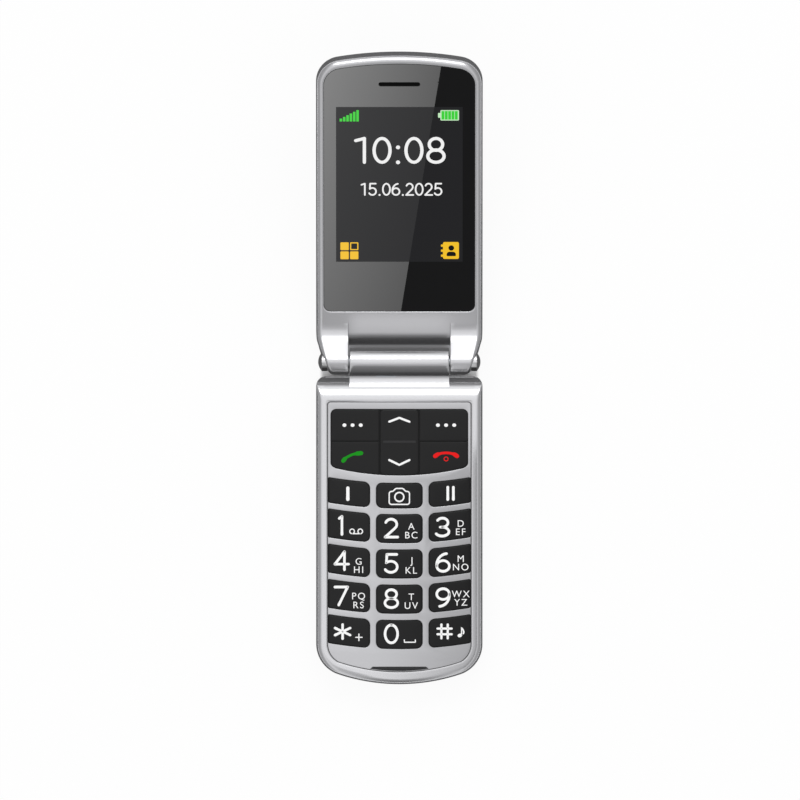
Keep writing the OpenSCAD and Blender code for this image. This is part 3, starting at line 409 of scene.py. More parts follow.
def raised(flat: np.ndarray, height: float) -> np.ndarray:
    """Returns a flat outline's points (x, y) at a height."""
    return np.column_stack([flat, np.full(len(flat), height)])


def along_x(profile: np.ndarray, places: Iterable[float]) -> np.ndarray:
    """Returns a profile (y, z) as rings at places along X."""
    return np.stack([np.column_stack([np.full(len(profile), x), profile]) for x in places])


def rings_at(outline: Callable[[float], np.ndarray], levels: Iterable[Sequence[float]]) -> np.ndarray:
    """Stacks an outline at insets and heights.

    Args:
        outline: gives the outline's points for an inset.
        levels: pairs of inset and height, from the lowest ring up.

    Returns:
        Rings of shape (levels, points, 3).
    """
    return np.stack([raised(outline(inset), height) for inset, height in levels])


def prism(outline: np.ndarray, z0: float, z1: float) -> Shape:
    """Returns a straight prism over an outline."""
    return Loft().add(rings_at(lambda _: outline, [(0, z0), (0, z1)])).data()


Width = float | np.ndarray
Line = tuple[np.ndarray, Width, bool]  # a path, the pen's width and whether it closes
FLATNESS = 0.3  # power that flattens the arch of a printed line, 1 being a half sine


def stroke(path: np.ndarray, width: Width, height: float, closed: bool = False) -> np.ndarray:
    """Carries a low arch along a flat path, with round ends, as printed lines have.

    Each cross-section is an arch of the line's width and the ink's height, h * sin(t) ** FLATNESS.
    At the ends it shrinks as cos(a) while it moves on by half the width times sin(a).

    Args:
        path: points (n, 2).
        width: of the line, one for all or one a point.
        height: of the ink.
        closed: whether the path closes on itself.

    Returns:
        Rings (n, 8, 3) to skin.
    """
    half = np.broadcast_to(np.asarray(width) / 2, len(path))
    if closed:
        ahead = np.roll(path, -1, axis=0) - np.roll(path, 1, axis=0)
        centre, size = path, half
    else:
        a = np.radians([85.0, 60.0, 30.0])
        first, last = (v / np.linalg.norm(v) for v in (path[0] - path[1], path[-1] - path[-2]))
        lead = path[0] + first * (half[0] * np.sin(a))[:, None]
        tail = path[-1] + last * (half[-1] * np.sin(a[::-1]))[:, None]
        centre = np.concatenate([lead, path, tail])
        size = np.concatenate([half[0] * np.cos(a), half, half[-1] * np.cos(a[::-1])])
        ahead = np.gradient(centre, axis=0)
    ahead = ahead / np.linalg.norm(ahead, axis=1)[:, None]
    side = np.stack([-ahead[:, 1], ahead[:, 0]], axis=1)
    turn = np.linspace(0, math.pi, 6)
    across = np.concatenate([np.cos(turn), [-1.0, 1.0]])
    up = np.concatenate([np.abs(np.sin(turn)) ** FLATNESS * height, [-height, -height]])
    flat = centre[:, None, :] + side[:, None, :] * (across[None, :] * size[:, None])[..., None]
    lift = np.broadcast_to(up[None, :], flat.shape[:2]) * np.ones(len(centre))[:, None]
    return np.concatenate([flat, lift[..., None]], axis=2)


def add_stroke(loft: Loft, path: np.ndarray, width: Width, height: float, z: float,
               closed: bool = False) -> None:
    """Adds a printed line to a loft, on a surface at height z."""
    rings = stroke(path, width, height, closed)
    rings[..., 2] += z
    loft.add(rings, caps=(not closed, not closed), loop=closed, flip=True)


Place = Callable[[np.ndarray], np.ndarray]


def linked(name: str, data: bpy.types.ID) -> Piece:
    """Returns a new object with its data, linked to the scene."""
    made = bpy.data.objects.new(name, data)
    bpy.context.scene.collection.objects.link(made)
    return made


def evaluated(made: Piece) -> bpy.types.Mesh:
    """Returns a new mesh of an object as its modifiers or its curve leave it."""
    graph = bpy.context.evaluated_depsgraph_get()
    return bpy.data.meshes.new_from_object(made.evaluated_get(graph))


def from_curve(curve: bpy.types.Curve) -> bpy.types.Mesh:
    """Turns a curve or a text into a mesh and removes it."""
    holder = linked(curve.name, curve)
    mesh = evaluated(holder)
    bpy.data.objects.remove(holder)
    bpy.data.curves.remove(curve)
    return mesh


def smooth(mesh: bpy.types.Mesh, sharp: float) -> None:
    """Shades a mesh smoothly, apart from edges steeper than an angle in degrees."""
    mesh.polygons.foreach_set("use_smooth", np.ones(len(mesh.polygons), dtype=bool))
    mesh.set_sharp_from_angle(angle=math.radians(sharp))


def make_mesh(name: str, shape: Shape, finish: Finish | Backlight, place: Place | None = None,
              sharp: float = 40.0) -> Piece:
    """Makes an object from points and faces, with its place in its mesh.

    Args:
        name: the object's name.
        shape: its points, (n, 3) in millimetres, and its faces.
        finish: what covers it.
        place: moves points into the model's frame.
        sharp: edges steeper than this angle stay crisp.

    Returns:
        The object, at the origin and linked to the scene.
    """
    points, faces = shape
    placed = (place(points) if place else points) * MM
    mesh = bpy.data.meshes.new(name)
    mesh.from_pydata(placed.tolist(), [], faces)
    mesh.validate()
    smooth(mesh, sharp)
    mesh.materials.append(finish.material())
    mesh.update()
    return linked(name, mesh)


def fit_on(made: Piece, body: str, *nodes: str, slot: str) -> None:
    """Lets a piece ride on a body, stand for construction nodes, and reports it.

    Args:
        made: the piece.
        body: the body that carries it.
        nodes: the construction nodes that it stands for.
        slot: not used.
    """
    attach(made, body)
    if nodes:
        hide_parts(*nodes)
    LOG.info("%s on %s, %d faces", made.name, body, len(made.data.polygons))


def baked(made: Piece) -> Piece:
    """Replaces an object's mesh by the result of its modifiers and drops them."""
    mesh = evaluated(made)
    made.modifiers.clear()
    old = made.data
    made.data = mesh
    bpy.data.meshes.remove(old)
    return made


def carve(made: Piece, cutters: Sequence[Shape], place: Place | None = None) -> Piece:
    """Cuts closed shapes out of a closed piece and keeps the result as its mesh.

    Args:
        made: the piece.
        cutters: the shapes.
        place: moves the shapes into the model's frame.

    Returns:
        The piece.
    """
    for shape in cutters:
        tool = make_mesh("cutter", shape, BLACK_ABS_AND_WELL_SHADE, place)
        cut = made.modifiers.new("cut", "BOOLEAN")
        cut.operation = "DIFFERENCE"
        cut.solver = "EXACT"
        cut.object = tool
        baked(made)
        bpy.data.objects.remove(tool)
    smooth(made.data, 35)
    return made


def plate_with_holes(name: str, outline: np.ndarray, holes: Sequence[np.ndarray], z0: float,
                     z1: float, bevel: float, finish: Finish) -> Piece:
    """Makes a flat plate with openings and softened edges.

    Args:
        name: the object's name.
        outline: the plate's outline.
        holes: outlines of its openings.
        z0: underside.
        z1: top.
        bevel: width of the edge rounding.
        finish: what covers it.

    Returns:
        The plate as a mesh object, at the origin.
    """
    curve = bpy.data.curves.new(name, "CURVE")
    curve.dimensions = "2D"
    curve.fill_mode = "BOTH"
    curve.extrude = ((z1 - z0) / 2 - bevel) * MM
    curve.bevel_depth = bevel * MM
    curve.bevel_resolution = 2
    curve.offset = -bevel * MM
    for ring in [outline, *holes]:
        spline = curve.splines.new("POLY")
        spline.points.add(len(ring) - 1)
        flat = np.column_stack([ring * MM, np.zeros(len(ring)), np.ones(len(ring))])
        spline.points.foreach_set("co", flat.ravel())
        spline.use_cyclic_u = True
    mesh = from_curve(curve)
    mesh.transform(Matrix.Translation((0, 0, (z0 + z1) / 2 * MM)))
    smooth(mesh, 30)
    mesh.materials.clear()
    mesh.materials.append(finish.material())
    return linked(name, mesh)


@dataclass(frozen=True)
class Lettering:
    """A short text as raised ink: its wording, height of capitals and place."""

    text: str
    height: float
    x: float
    y: float
    spacing: float = 1.0

    def shape(self, z: float, thickness: float) -> Shape:
        """Returns the text's mesh, centred on its place.

        Args:
            z: height of the surface under it.
            thickness: of the ink.

        Returns:
            Its points in millimetres and its faces.
        """
        cap = 0.73  # height of a capital for a text of size 1
        curve = bpy.data.curves.new("lettering", "FONT")
        curve.body = self.text
        curve.size = self.height / cap
        curve.space_character = self.spacing
        curve.extrude = thickness / 2
        curve.resolution_u = 6
        mesh = from_curve(curve)
        points = np.empty(len(mesh.vertices) * 3)
        mesh.vertices.foreach_get("co", points)
        points = points.reshape(-1, 3)
        faces = [list(p.vertices) for p in mesh.polygons]
        bpy.data.meshes.remove(mesh)
        low, high = points.min(axis=0), points.max(axis=0)
        points -= (low + high) / 2
        points += (self.x, self.y, z + thickness / 2)
        return points, faces


def bend(x: float, y: float, half_w: float, half_h: float, start: float,
         end: float) -> np.ndarray:
    """Returns points of an elliptical bend from the start angle to the end angle in degrees."""
    return np.array([x, y]) + np.array([half_w, half_h]) * spokes(start, end, 25)


def straight(start: Sequence[float], end: Sequence[float]) -> np.ndarray:
    """Returns six points along a straight line, both ends included."""
    return np.linspace(start, end, 6)


# The pen's lines for each figure, in a box from -1 to 1 both ways
SIX = [np.concatenate([bend(0.75, -0.25, 1.75, 1.23, 97, 178), bend(0.0, -0.4, 1.0, 0.6, 180, 540)])]
FIGURES: dict[str, list[np.ndarray]] = {
    "0": [bend(0, 0, 1, 1, 90, 450)],
    "2": [np.concatenate([bend(-0.04, 0.42, 0.9, 0.58, 158, -30), straight((0.55, -0.02), (-0.98, -1))]),
          straight((-0.98, -1), (1, -1))],
    "3": [bend(-0.1, 0.5, 0.88, 0.5, 150, -90), bend(-0.15, -0.5, 1.08, 0.5, 90, -150),
          straight((-0.45, 0), (-0.1, 0))],
    "4": [straight((0.5, 1), (-1, -0.38)), straight((-1, -0.38), (1.15, -0.38)),
          straight((0.5, 1), (0.5, -1))],
    "5": [straight((0.85, 1), (-0.7, 1)), straight((-0.7, 1), (-0.78, 0.1)),
          bend(-0.08, -0.38, 1.02, 0.62, 134, -150)],
    "6": SIX,
    "7": [straight((-1, 1), (1, 1)), straight((1, 1), (-0.4, -1))],
    "8": [bend(0, 0.5, 0.84, 0.5, -90, 270), bend(0, -0.48, 1.02, 0.52, 90, 450)],
    "9": [-path for path in SIX],
}
NARROW = 0.45  # share of a figure's advance that a point or a colon takes
DOT = 1.25  # how much wider the pen is for a point or a colon


@dataclass(frozen=True)
class Figures:
    """Figures drawn with a round pen of one width: straight lines and elliptical bends."""

    text: str
    height: float
    x: float
    y: float
    width: float
    pen: float
    advance: float = 0.0
    flag: float = 0.8

    def lines(self) -> list[Line]:
        """Returns the pen's paths, each with its width and whether it closes."""
        half = np.array([self.width - self.pen, self.height - self.pen]) / 2
        steps = [self.advance * (NARROW if mark in ".:" else 1) for mark in self.text]
        at, found = self.x - sum(steps) / 2, []
        for mark, step in zip(self.text, steps):
            centre = (at + step / 2, self.y)
            at += step
            if mark == "1":
                stem, tip = self.flag / 2, (-self.flag / 2, self.height / 2 - 1.2 * self.pen)
                top = (stem, half[1])
                paths = [straight(top, (stem, -half[1])), straight(top, tip)]
            elif mark in ".:":
                heights = (-half[1], 0.25 * half[1]) if mark == ":" else (-half[1],)
                paths = [straight((-0.01, y), (0.01, y)) for y in heights]
            else:
                paths = [path * half for path in FIGURES[mark]]
            dot = DOT if mark in ".:" else 1.0
            found += [(path + centre, self.pen * dot, False) for path in paths]
        return found


# ---- The phone's plan ----


@dataclass(frozen=True)
class Plan:
    """Outlines and levels that base, lid and keys share, in the construction model's frame."""

    half_w: float
    base_top: float
    base_bottom: float
    axis_y: float
    axis_z: float
    base_t: float
    split_h: float = 6.2
    axis_depth: float = 2.5
    lean: float = 20.0
    base_end_r: float = 58.0
    base_corner_r: float = 9.7
    hinge_corner_r: float = 3.0
    shoulder_r: float = 7.0
    lid_end: float = 96.15
    lid_end_r: float = 110.0
    lid_corner_r: float = 7.7
    lid_taper_r: float = 27.0
    lid_taper_u: float = 9.0

    @classmethod
    def from_frame(cls) -> "Plan":
        """Reads the body's width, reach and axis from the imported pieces.

        The rim's crest lies axis_depth above the hinge axis.
        """
        low, high = (np.array(v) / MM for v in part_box("base_rear_housing"))
        axis_low, axis_high = (np.array(v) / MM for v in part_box("hinge_end_caps"))
        axis = (axis_low + axis_high) / 2
        return cls(half_w=float(high[0]), base_top=float(high[1]), base_bottom=float(low[1]),
                   axis_y=float(axis[1]), axis_z=float(axis[2]), base_t=float(axis[2]) + cls.axis_depth)

    def end_corner(self, y_end: float, end_r: float, corner_r: float) -> Triple:
        """Returns the centre of a bottom corner's arc and the angle at which it meets the end."""
        cx = self.half_w - corner_r
        cy = y_end + end_r - math.sqrt((end_r - corner_r) ** 2 - cx ** 2)
        return cx, cy, math.degrees(math.atan2(cy - y_end - end_r, cx))

    def base_outline(self, inset: float) -> np.ndarray:
        """Returns the base in plan, drawn in by an inset, anticlockwise."""
        r = max(self.hinge_corner_r - inset, 0.05)
        bx, by, turn = self.end_corner(self.base_bottom, self.base_end_r, self.base_corner_r)
        end_y = self.base_bottom + self.base_end_r
        return self.arched((self.half_w - inset, self.base_top - inset, r),
                           (bx, by, self.base_corner_r - inset, turn),
                           (end_y, self.base_end_r - inset, turn))

    @staticmethod
    def arched(head: Triple, foot: tuple[float, float, float, float],
               end: Triple) -> np.ndarray:
        """Returns an outline that is square at its head and arched at its end.

        Args:
            head: half width, upper edge and corner radius.
            foot: the right lower corner's centre, its radius and the angle where it ends.
            end: height of the end arc's centre, its radius and the angle where it starts.

        Returns:
            The closed outline, anticlockwise from the right, always as many points.
        """
        x, y, r = head
        bx, by, corner_r, corner_turn = foot
        end_y, end_r, end_turn = end
        arcs = [
            arc((x - r, y - r), r, 0, 90, 12),
            arc((r - x, y - r), r, 90, 180, 12),
            arc((-bx, by), corner_r, 180, 180 - corner_turn, 24),
            arc((0, end_y), end_r, -180 - end_turn, end_turn, 50)[1:-1],
            arc((bx, by), corner_r, corner_turn, 0, 24),
        ]
        return joined(arcs, [40, 70, 0, 0, 70])

    def lid_half(self, u: np.ndarray | float) -> np.ndarray | float:
        """Returns the lid's half width at distance u from the axis, where it tapers in."""
        c = self.half_w - self.lid_taper_r
        down = np.minimum(np.asarray(u) - self.lid_taper_u, 0.0)
        return c + np.sqrt(self.lid_taper_r ** 2 - down ** 2)

    def on_lid(self, points: np.ndarray) -> np.ndarray:
        """Moves points (x, u, v) of the lid's own frame into the model's frame.

        v points out of the display; the lid leans up from the base's plane at the axis.
        """
        c, s = math.cos(math.radians(self.lean)), math.sin(math.radians(self.lean))
        x, u, v = points[..., 0], points[..., 1], points[..., 2]
        return np.stack([x, self.axis_y + u * c - v * s, self.axis_z + u * s + v * c], axis=-1)


# ---- Base ----


@dataclass
class BaseShells:
    """The base's two housings, its cover and the barrel of the hinge."""

    plan: Plan
    rim_w: float = 2.2
    rim_h: float = 2.0
    slope_w: float = 0.7
    slope_h: float = 0.3
    back_w: float = 2.2
    back_h: float = 2.4
    wall: float = 1.5
    side_rim: float = 3.5
    chin_rim: float = 3.8
    plate_start: float = 12.2
    plate_corner_r: float = 0.8
    plate_gap: float = 0.1
    deck_bottom: float = 9.5
    cover_t: float = 1.3
    cover_end: float = 24.65
    cover_gap: float = 0.15
    flat_inset: float = 0.1
    barrel_r: float = 4.2
    barrel_half: float = 14.95
    barrel_edge: float = 0.3
    block_start: float = -7.5
    block_end: float = -1.0
    block_r: float = 10.0
    block_tilt: float = 18.0
    holes_x: float = 11.5
    holes_down: float = 12.5
    hole_deep: float = 3.0
    slot_pitch: float = 2.2
    slot_half_w: float = 0.5
    slot_half_l: float = 3.5
    slot_r: float = 0.45
    well_r: float = 5.15
    mouth_gap: float = 0.05
    mouth_r: float = 0.3
    grips: int = 5
    grip_start: float = 6.0
    grip_pitch: float = 1.5
    grip_half: float = 8.0
    grip_w: float = 0.6
    grip_deep: float = 0.3

    def plate_outline(self, grow: float) -> np.ndarray:
        """Returns the faceplate's outline, point for point beside the base's own.

        Straight sides, corners concentric with the base's, and a bottom arc of the base's radius
        that meets them where the two circles cross.

        Args:
            grow: how much larger it is drawn.
        """
        p = self.plan
        x, y1 = p.half_w - self.side_rim + grow, p.axis_y - self.plate_start + grow
        bx, by, _ = p.end_corner(p.base_bottom, p.base_end_r, p.base_corner_r)
        corner_r = x - bx
        end_y = p.base_bottom + self.chin_rim - grow + p.base_end_r
        gap = math.hypot(bx, by - end_y)
        along = (p.base_end_r ** 2 - corner_r ** 2 + gap ** 2) / (2 * gap)
        off = math.sqrt(p.base_end_r ** 2 - along ** 2)
        ux, uy = bx / gap, (by - end_y) / gap
        meet = (along * ux - off * uy, end_y + along * uy + off * ux)
        at_corner = math.degrees(math.atan2(meet[1] - by, meet[0] - bx))
        at_end = math.degrees(math.atan2(meet[1] - end_y, meet[0]))
        return p.arched((x, y1, self.plate_corner_r), (bx, by, corner_r, at_corner),
                        (end_y, p.base_end_r, at_end))

    def shoulder(self, y: np.ndarray) -> np.ndarray:
        """Returns the height of the shoulder's quarter round above each y."""
        p = self.plan
        past = np.clip(y - (p.base_top - p.shoulder_r), 0, p.shoulder_r)
        return p.base_t - p.shoulder_r + np.sqrt(p.shoulder_r ** 2 - past ** 2)

    def under_shoulder(self, rings: np.ndarray, drop: np.ndarray) -> np.ndarray:
        """Lowers rings so that none rises above the shoulder, less a drop for each ring.

        A point beyond the shoulder at its own height moves back to it, so that the side wall
        follows the same quarter round.
        """
        p = self.plan
        low = p.base_t - p.shoulder_r
        over = np.clip((rings[..., 2] - low) / p.shoulder_r, 0, 1)
        reach = p.base_top - p.shoulder_r + p.shoulder_r * np.sqrt(1 - over ** 2)
        limit = self.shoulder(rings[..., 1]) - drop[:, None]
        on_wall = np.isclose(rings[..., 2], p.split_h) | (rings[..., 2] < p.split_h)
        z = np.where(on_wall, rings[..., 2], np.maximum(np.minimum(rings[..., 2], limit), p.split_h))
        y = np.minimum(rings[..., 1], np.where(z <= p.split_h + TOUCH, reach, np.inf))
        return np.stack([rings[..., 0], y, z], axis=-1)

    def front(self) -> Piece:
        """Makes the front housing: rim, shoulders and the wall round the keypad."""
        p = self.plan
        outer = [(0.0, p.split_h), (0.0, 0.5 * (p.split_h + p.base_t - self.rim_h))]
        outer += [(i, p.base_t - d) for i, d in quarter(self.rim_w, self.rim_h, 12)]
        rings = rings_at(p.base_outline, outer)
        edge = rings[-1]
        inner = rings_at(lambda i: self.plate_outline(self.plate_gap + i),
                         [(i, p.base_t - d) for i, d in quarter(self.slope_w, self.slope_h, 8)[::-1]])
        t = np.linspace(0, 1, 8)[1:-1, None, None]
        crest = edge * (1 - t) + inner[0] * t
        floor = rings_at(self.plate_outline, [(self.plate_gap, self.deck_bottom)])
        inside = rings_at(p.base_outline, [(self.wall, self.deck_bottom), (self.wall, p.split_h)])
        rings = np.concatenate([rings, crest, inner, floor, inside])
        drop = np.zeros(len(rings))
        drop[-3:] = self.wall
        rings = self.under_shoulder(rings, drop)
        shape = Loft().add(rings, loop=True, caps=(False, False)).data()
        return make_mesh("base_front_shell", shape, BRIGHT_SILVER)

    def barrel(self) -> Piece:
        """Makes the barrel and the block that joins it to the base, as profiles along X."""
        p = self.plan
        edge = self.barrel_edge
        ends = [(-self.barrel_half + i, edge - math.sqrt(max(edge ** 2 - (edge - i) ** 2, 0)))
                for i in edge * np.array([0.0, 0.1, 0.3, 0.6, 1.0])]
        stations = ends + [(-x, inset) for x, inset in reversed(ends)]
        turn = circle(0, 0, 1.0, 96)
        rings = np.concatenate([along_x(turn * (self.barrel_r - inset), [x])
                                for x, inset in stations])
        axis = (0, p.axis_y, p.axis_z)
        loft = Loft().add(rings + axis).add(self.block_rings() + axis)
        return make_mesh("hinge_barrel", loft.data(), BRIGHT_SILVER)

    def block_rings(self) -> np.ndarray:
        """Returns the block's profile at its two ends, about the axis.

        Its top is an arc of radius block_r that starts on the shoulder and leans under the barrel.
        """
        p = self.plan
        start, end, radius = self.block_start, self.block_end, self.block_r
        tilt = math.radians(self.block_tilt)
        into = start + p.axis_y - p.base_top + p.shoulder_r
        top = math.sqrt(p.shoulder_r ** 2 - into ** 2) - p.shoulder_r + p.base_t - p.axis_z
        cy, cz = start - radius * math.sin(tilt), top - radius * math.cos(tilt)
        y = np.linspace(start, end, 24)
        z = cz + np.sqrt(radius ** 2 - (y - cy) ** 2)
        low = p.split_h - p.axis_z
        profile = np.concatenate([np.column_stack([y, z]), [(end, low), (start, low)]])[::-1]
        return along_x(profile, (-self.barrel_half, self.barrel_half))

    def rear(self) -> Piece:
        """Makes the rear housing, with the openings in its back and side."""
        p = self.plan
        levels = [(self.back_w + self.flat_inset, 0.0)]
        levels += quarter(self.back_w, self.back_h, 10)[::-1].tolist()
        levels.append((0.0, 0.5 * (self.back_h + p.split_h)))
        levels += [(0.0, z) for z in np.linspace(p.base_t - p.shoulder_r, p.split_h, 5)]
        rings = rings_at(p.base_outline, levels)
        rings = self.under_shoulder(rings, np.zeros(len(rings)))
        made = make_mesh("base_rear_shell", Loft().add(rings).data(), SATIN_SILVER)
        return carve(made, [self.cover_seat(), *self.back_holes(), self.socket_mouth()])

    def cover_seat(self) -> Shape:
        """Returns the room that the battery cover takes up."""
        wide, far = 2 * self.plan.half_w, 2 * self.plan.base_top
        return box_mesh((-wide, -far, -OVERCUT),
                        (wide, self.cover_end + self.cover_gap, self.cover_t + self.cover_gap))

    def back_holes(self) -> list[Shape]:
        """Returns the slots over the loudspeaker and the round well of the emergency key."""
        y = self.plan.base_top - self.holes_down
        half_w, half_l = self.slot_half_w, self.slot_half_l
        outlines = []
        for i in range(-2, 3):
            x = self.holes_x + self.slot_pitch * i
            outlines.append(rounded_rect(x - half_w, x + half_w, y - half_l, y + half_l,
                                         [self.slot_r] * 4, 5, 1))
        outlines.append(circle(-self.holes_x, y, self.well_r, 64))
        return [prism(hole, -OVERCUT, self.hole_deep) for hole in outlines]

    def socket_mouth(self) -> Shape:
        """Returns the opening in the side through which the charging socket is reached."""
        gap = self.mouth_gap
        low, high = (np.array(v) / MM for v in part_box("usb_socket"))
        mouth = rounded_rect(low[1] - gap, high[1] + gap, low[2] - gap, high[2] + OVERCUT,
                             [self.mouth_r] * 4, 5, 1)
        points, faces = prism(mouth, low[0], self.plan.half_w + OVERCUT)
        return points[:, [2, 0, 1]], faces

    def cover(self) -> Piece:
        """Makes the battery cover, with the grip grooves in its back."""
        p = self.plan
        levels = [(self.back_w + self.flat_inset, 0.0)]
        levels += [(i, d) for i, d in quarter(self.back_w, self.back_h, 24)[::-1] if d < self.cover_t]
        levels.append(self.at_height(self.cover_t))
        shape = Loft().add(rings_at(p.base_outline, levels)).data()
        made = make_mesh("battery_cover_shell", shape, SATIN_SILVER)
        wide, far = 2 * p.half_w, 2 * p.base_top
        cuts = [box_mesh((-wide, self.cover_end, -OVERCUT), (wide, far, self.hole_deep))]
        for i in range(self.grips):
            y = self.cover_end - self.grip_start - self.grip_pitch * i
            groove = rounded_rect(-self.grip_half, self.grip_half, y, y + self.grip_w,
                                  [self.grip_w / 2] * 4, 6, 1)
            cuts.append(prism(groove, -OVERCUT, self.grip_deep))
        return carve(made, cuts)

    def at_height(self, z: float) -> tuple[float, float]:
        """Returns the inset of the back's edge rounding at a height, with that height."""
        share = 1 - min(z / self.back_h, 1)
        return self.back_w * (1 - math.sqrt(1 - share ** 2)), z

    def build(self) -> None:
        """Makes the base's shells and sets them on their bodies."""
        fit_on(self.front(), "base", "base_front_housing", slot="bright_rim")
        fit_on(self.barrel(), "base", slot="bright_rim")
        fit_on(self.rear(), "base", "base_rear_housing", slot="silver_paint")
        fit_on(self.cover(), "battery_cover", "battery_cover", slot="silver_paint")


def box_mesh(low: Sequence[float], high: Sequence[float]) -> Shape:
    """Returns a plain box between two corners, for cutting."""
    corners = np.array([(low[0], low[1]), (high[0], low[1]), (high[0], high[1]), (low[0], high[1])])
    return prism(corners, low[2], high[2])


# ---- Keypad ----


class Column(Enum):
    """The keypad's columns, by the side on which they lie."""

    LEFT = -1
    MIDDLE = 0
    RIGHT = 1


@dataclass
class Sign:
    """What is printed on a key: lettering and strokes, relative to the key's centre."""

    letters: list[Lettering] = field(default_factory=list)
    strokes: list[Line] = field(default_factory=list)
    finish: Finish = WHITE_INK


@dataclass
class Keypad:
    """Faceplate, pad and keys."""

    shells: BaseShells
    plate_top: float = 10.9
    plate_t: float = 0.6
    key_top: float = 11.3
    clear: float = 0.15
    mid_x: float = 6.85
    side_x0: float = 8.95
    side_x1: float = 21.35
    quick_start: float = 36.6
    quick_h: float = 7.35
    digit_start: float = 46.0
    pitch: float = 10.6
    key_h: float = 8.4
    key_r: float = 1.7
    smile_r: float = 128.0
    nav_half: float = 20.5
    nav_start: float = 14.35
    nav_len: float = 19.7
    nav_arc_r: float = 85.0
    nav_r: float = 1.5
    nav_cross: float = 9.6
    nav_gap: float = 0.25
    nav_sign_x: float = 14.05
    cell_r: float = 0.25
    cell_edge: float = 0.22
    nav_dome: float = 0.04
    rocker_w: float = 11.9
    rocker_rim: float = 9.15
    rocker_r: float = 1.3
    rocker_edge: float = 0.4
    outer_r: float = 0.4
    slant_most: float = 0.56
    key_edge: float = 0.35
    key_dome: float = 0.08
    cap_foot: float = 8.8
    cap_rim: float = 9.4
    cap_side: float = 10.3
    rim_out: float = 0.5
    cap_edge_h: float = 0.28
    dome_span: float = 2.6
    ink: float = 0.04
    print_sink: float = 0.015
    edge_r: float = 0.15
    deck_grow: float = 0.1
    deck_gap: float = 0.02
    deck_bevel: float = 0.05
    bar_half: float = 4.6
    bar_w: float = 0.8
    bar_h: float = 0.15
    bar_up: float = 0.15
    bar_sink: float = 0.01
    pad_gap: float = 0.2
    pad_foot: float = 8.8
    pad_head: float = 8.0
    pad_h: float = 1.3
    pad_sink: float = 0.3
    pad_rise: float = 0.35
    pad_edge: float = 0.12
    pad_draw: tuple[float, float] = (0.03, 0.3)

    def row(self, row: int) -> tuple[float, float]:
        """Returns where a row starts below the hinge axis and how high it is."""
        if row == 0:
            return self.quick_start, self.quick_h
        return self.digit_start + (row - 1) * self.pitch, self.key_h

    def key_outline(self, column: Column, row: int, inset: float, slant: float = 0.0) -> np.ndarray:
        """Returns a plunger key's outline: a rounded rectangle lifted by the row's arc.

        Args:
            column: where the key stands.
            row: 0 for the quick keys, then the digits.
            inset: how far it is drawn in.
            slant: how much more its outer side is drawn in.
        """
        start, height = self.row(row)
        top = self.shells.plan.axis_y - start
        inner = max(self.key_r - inset, 0.1)
        if column is Column.MIDDLE:
            x0, x1, radii = -self.mid_x, self.mid_x, [inner] * 4
        else:
            outer = max(self.outer_r - inset, 0.05)
            x0, x1, radii = self.side_x0, self.side_x1 - slant, [outer, outer, inner, inner]
        flat = rounded_rect(x0 + inset, x1 - inset, top - height + inset, top - inset, radii)
        flat[:, 1] += sag(self.smile_r, flat[:, 0])
        return flat[::-1] * (-1, 1) if column is Column.LEFT else flat

    def key_centre(self, column: Column, row: int) -> tuple[float, float]:
        """Returns the middle of a plunger key."""
        start, height = self.row(row)
        x = column.value * (self.side_x0 + self.side_x1) / 2
        y = self.shells.plan.axis_y - start - height / 2
        return x, y + float(sag(self.smile_r, x))

    def nav_outline(self, inset: float) -> np.ndarray:
        """Returns the navigation cluster's outline, its lower edge an arc."""
        return self.nav_cell(-self.nav_half, self.nav_half, 0.0, 1.0, inset, [self.nav_r] * 4)

    def nav_cell(self, x0: float, x1: float, t0: float, t1: float, inset: float,
                 radii: Sequence[float]) -> np.ndarray:
        """Returns one cell of the cluster: a rounded rectangle whose lower part follows the arc.

        Args:
            x0, x1: its sides.
            t0, t1: its lower and upper edge, as shares of the cluster's height.
            inset: how far it is drawn in.
            radii: of its corners.
        """
        top = self.shells.plan.axis_y - self.nav_start
        low = top - self.nav_len
        y0, y1 = low + t0 * self.nav_len + inset, low + t1 * self.nav_len - inset
        r = [max(v - inset, 0.12) for v in radii]
        flat = rounded_rect(x0 + inset, x1 - inset, y0, y1, r)
        down = np.clip((top - flat[:, 1]) / self.nav_len, 0, 1)
        low_part = np.clip((down - self.nav_cross / self.nav_len)
                           / (1 - self.nav_cross / self.nav_len), 0, 1)
        flat[:, 1] += sag(self.nav_arc_r, flat[:, 0]) * low_part
        return flat

    def cap(self, outline: Callable[[float], np.ndarray], round_w: float, dome: float,
            rim_top: float) -> Shape:
        """Lofts a key cap: a rim under the deck, straight sides, a rounded edge and a low dome.

        Args:
            outline: the cap's outline for an inset.
            round_w: width of the edge rounding.
            dome: how much the middle rises above the rounding's end.
            rim_top: height of the rim's upper face.
        """
        top = self.key_top - dome
        levels = [(-self.rim_out, self.cap_foot), (-self.rim_out, rim_top), (0.0, rim_top),
                  (0.0, self.cap_side)]
        levels += [(i, top - d) for i, d in quarter(round_w, self.cap_edge_h, 8)]
        for t in (0.15, 0.35, 0.6, 0.85, 1.0):
            levels.append((round_w + self.dome_span * t, top + dome * (1 - (1 - t) ** 2)))
        return Loft().add(rings_at(outline, levels)).data()

    def seats(self) -> list[Callable[[float], np.ndarray]]:
        """Returns what the openings follow: each key's outline as a function of an inset."""
        return [self.nav_outline, *(partial(self.key_outline, column, row)
                                    for column, row, _, _ in KEYS)]

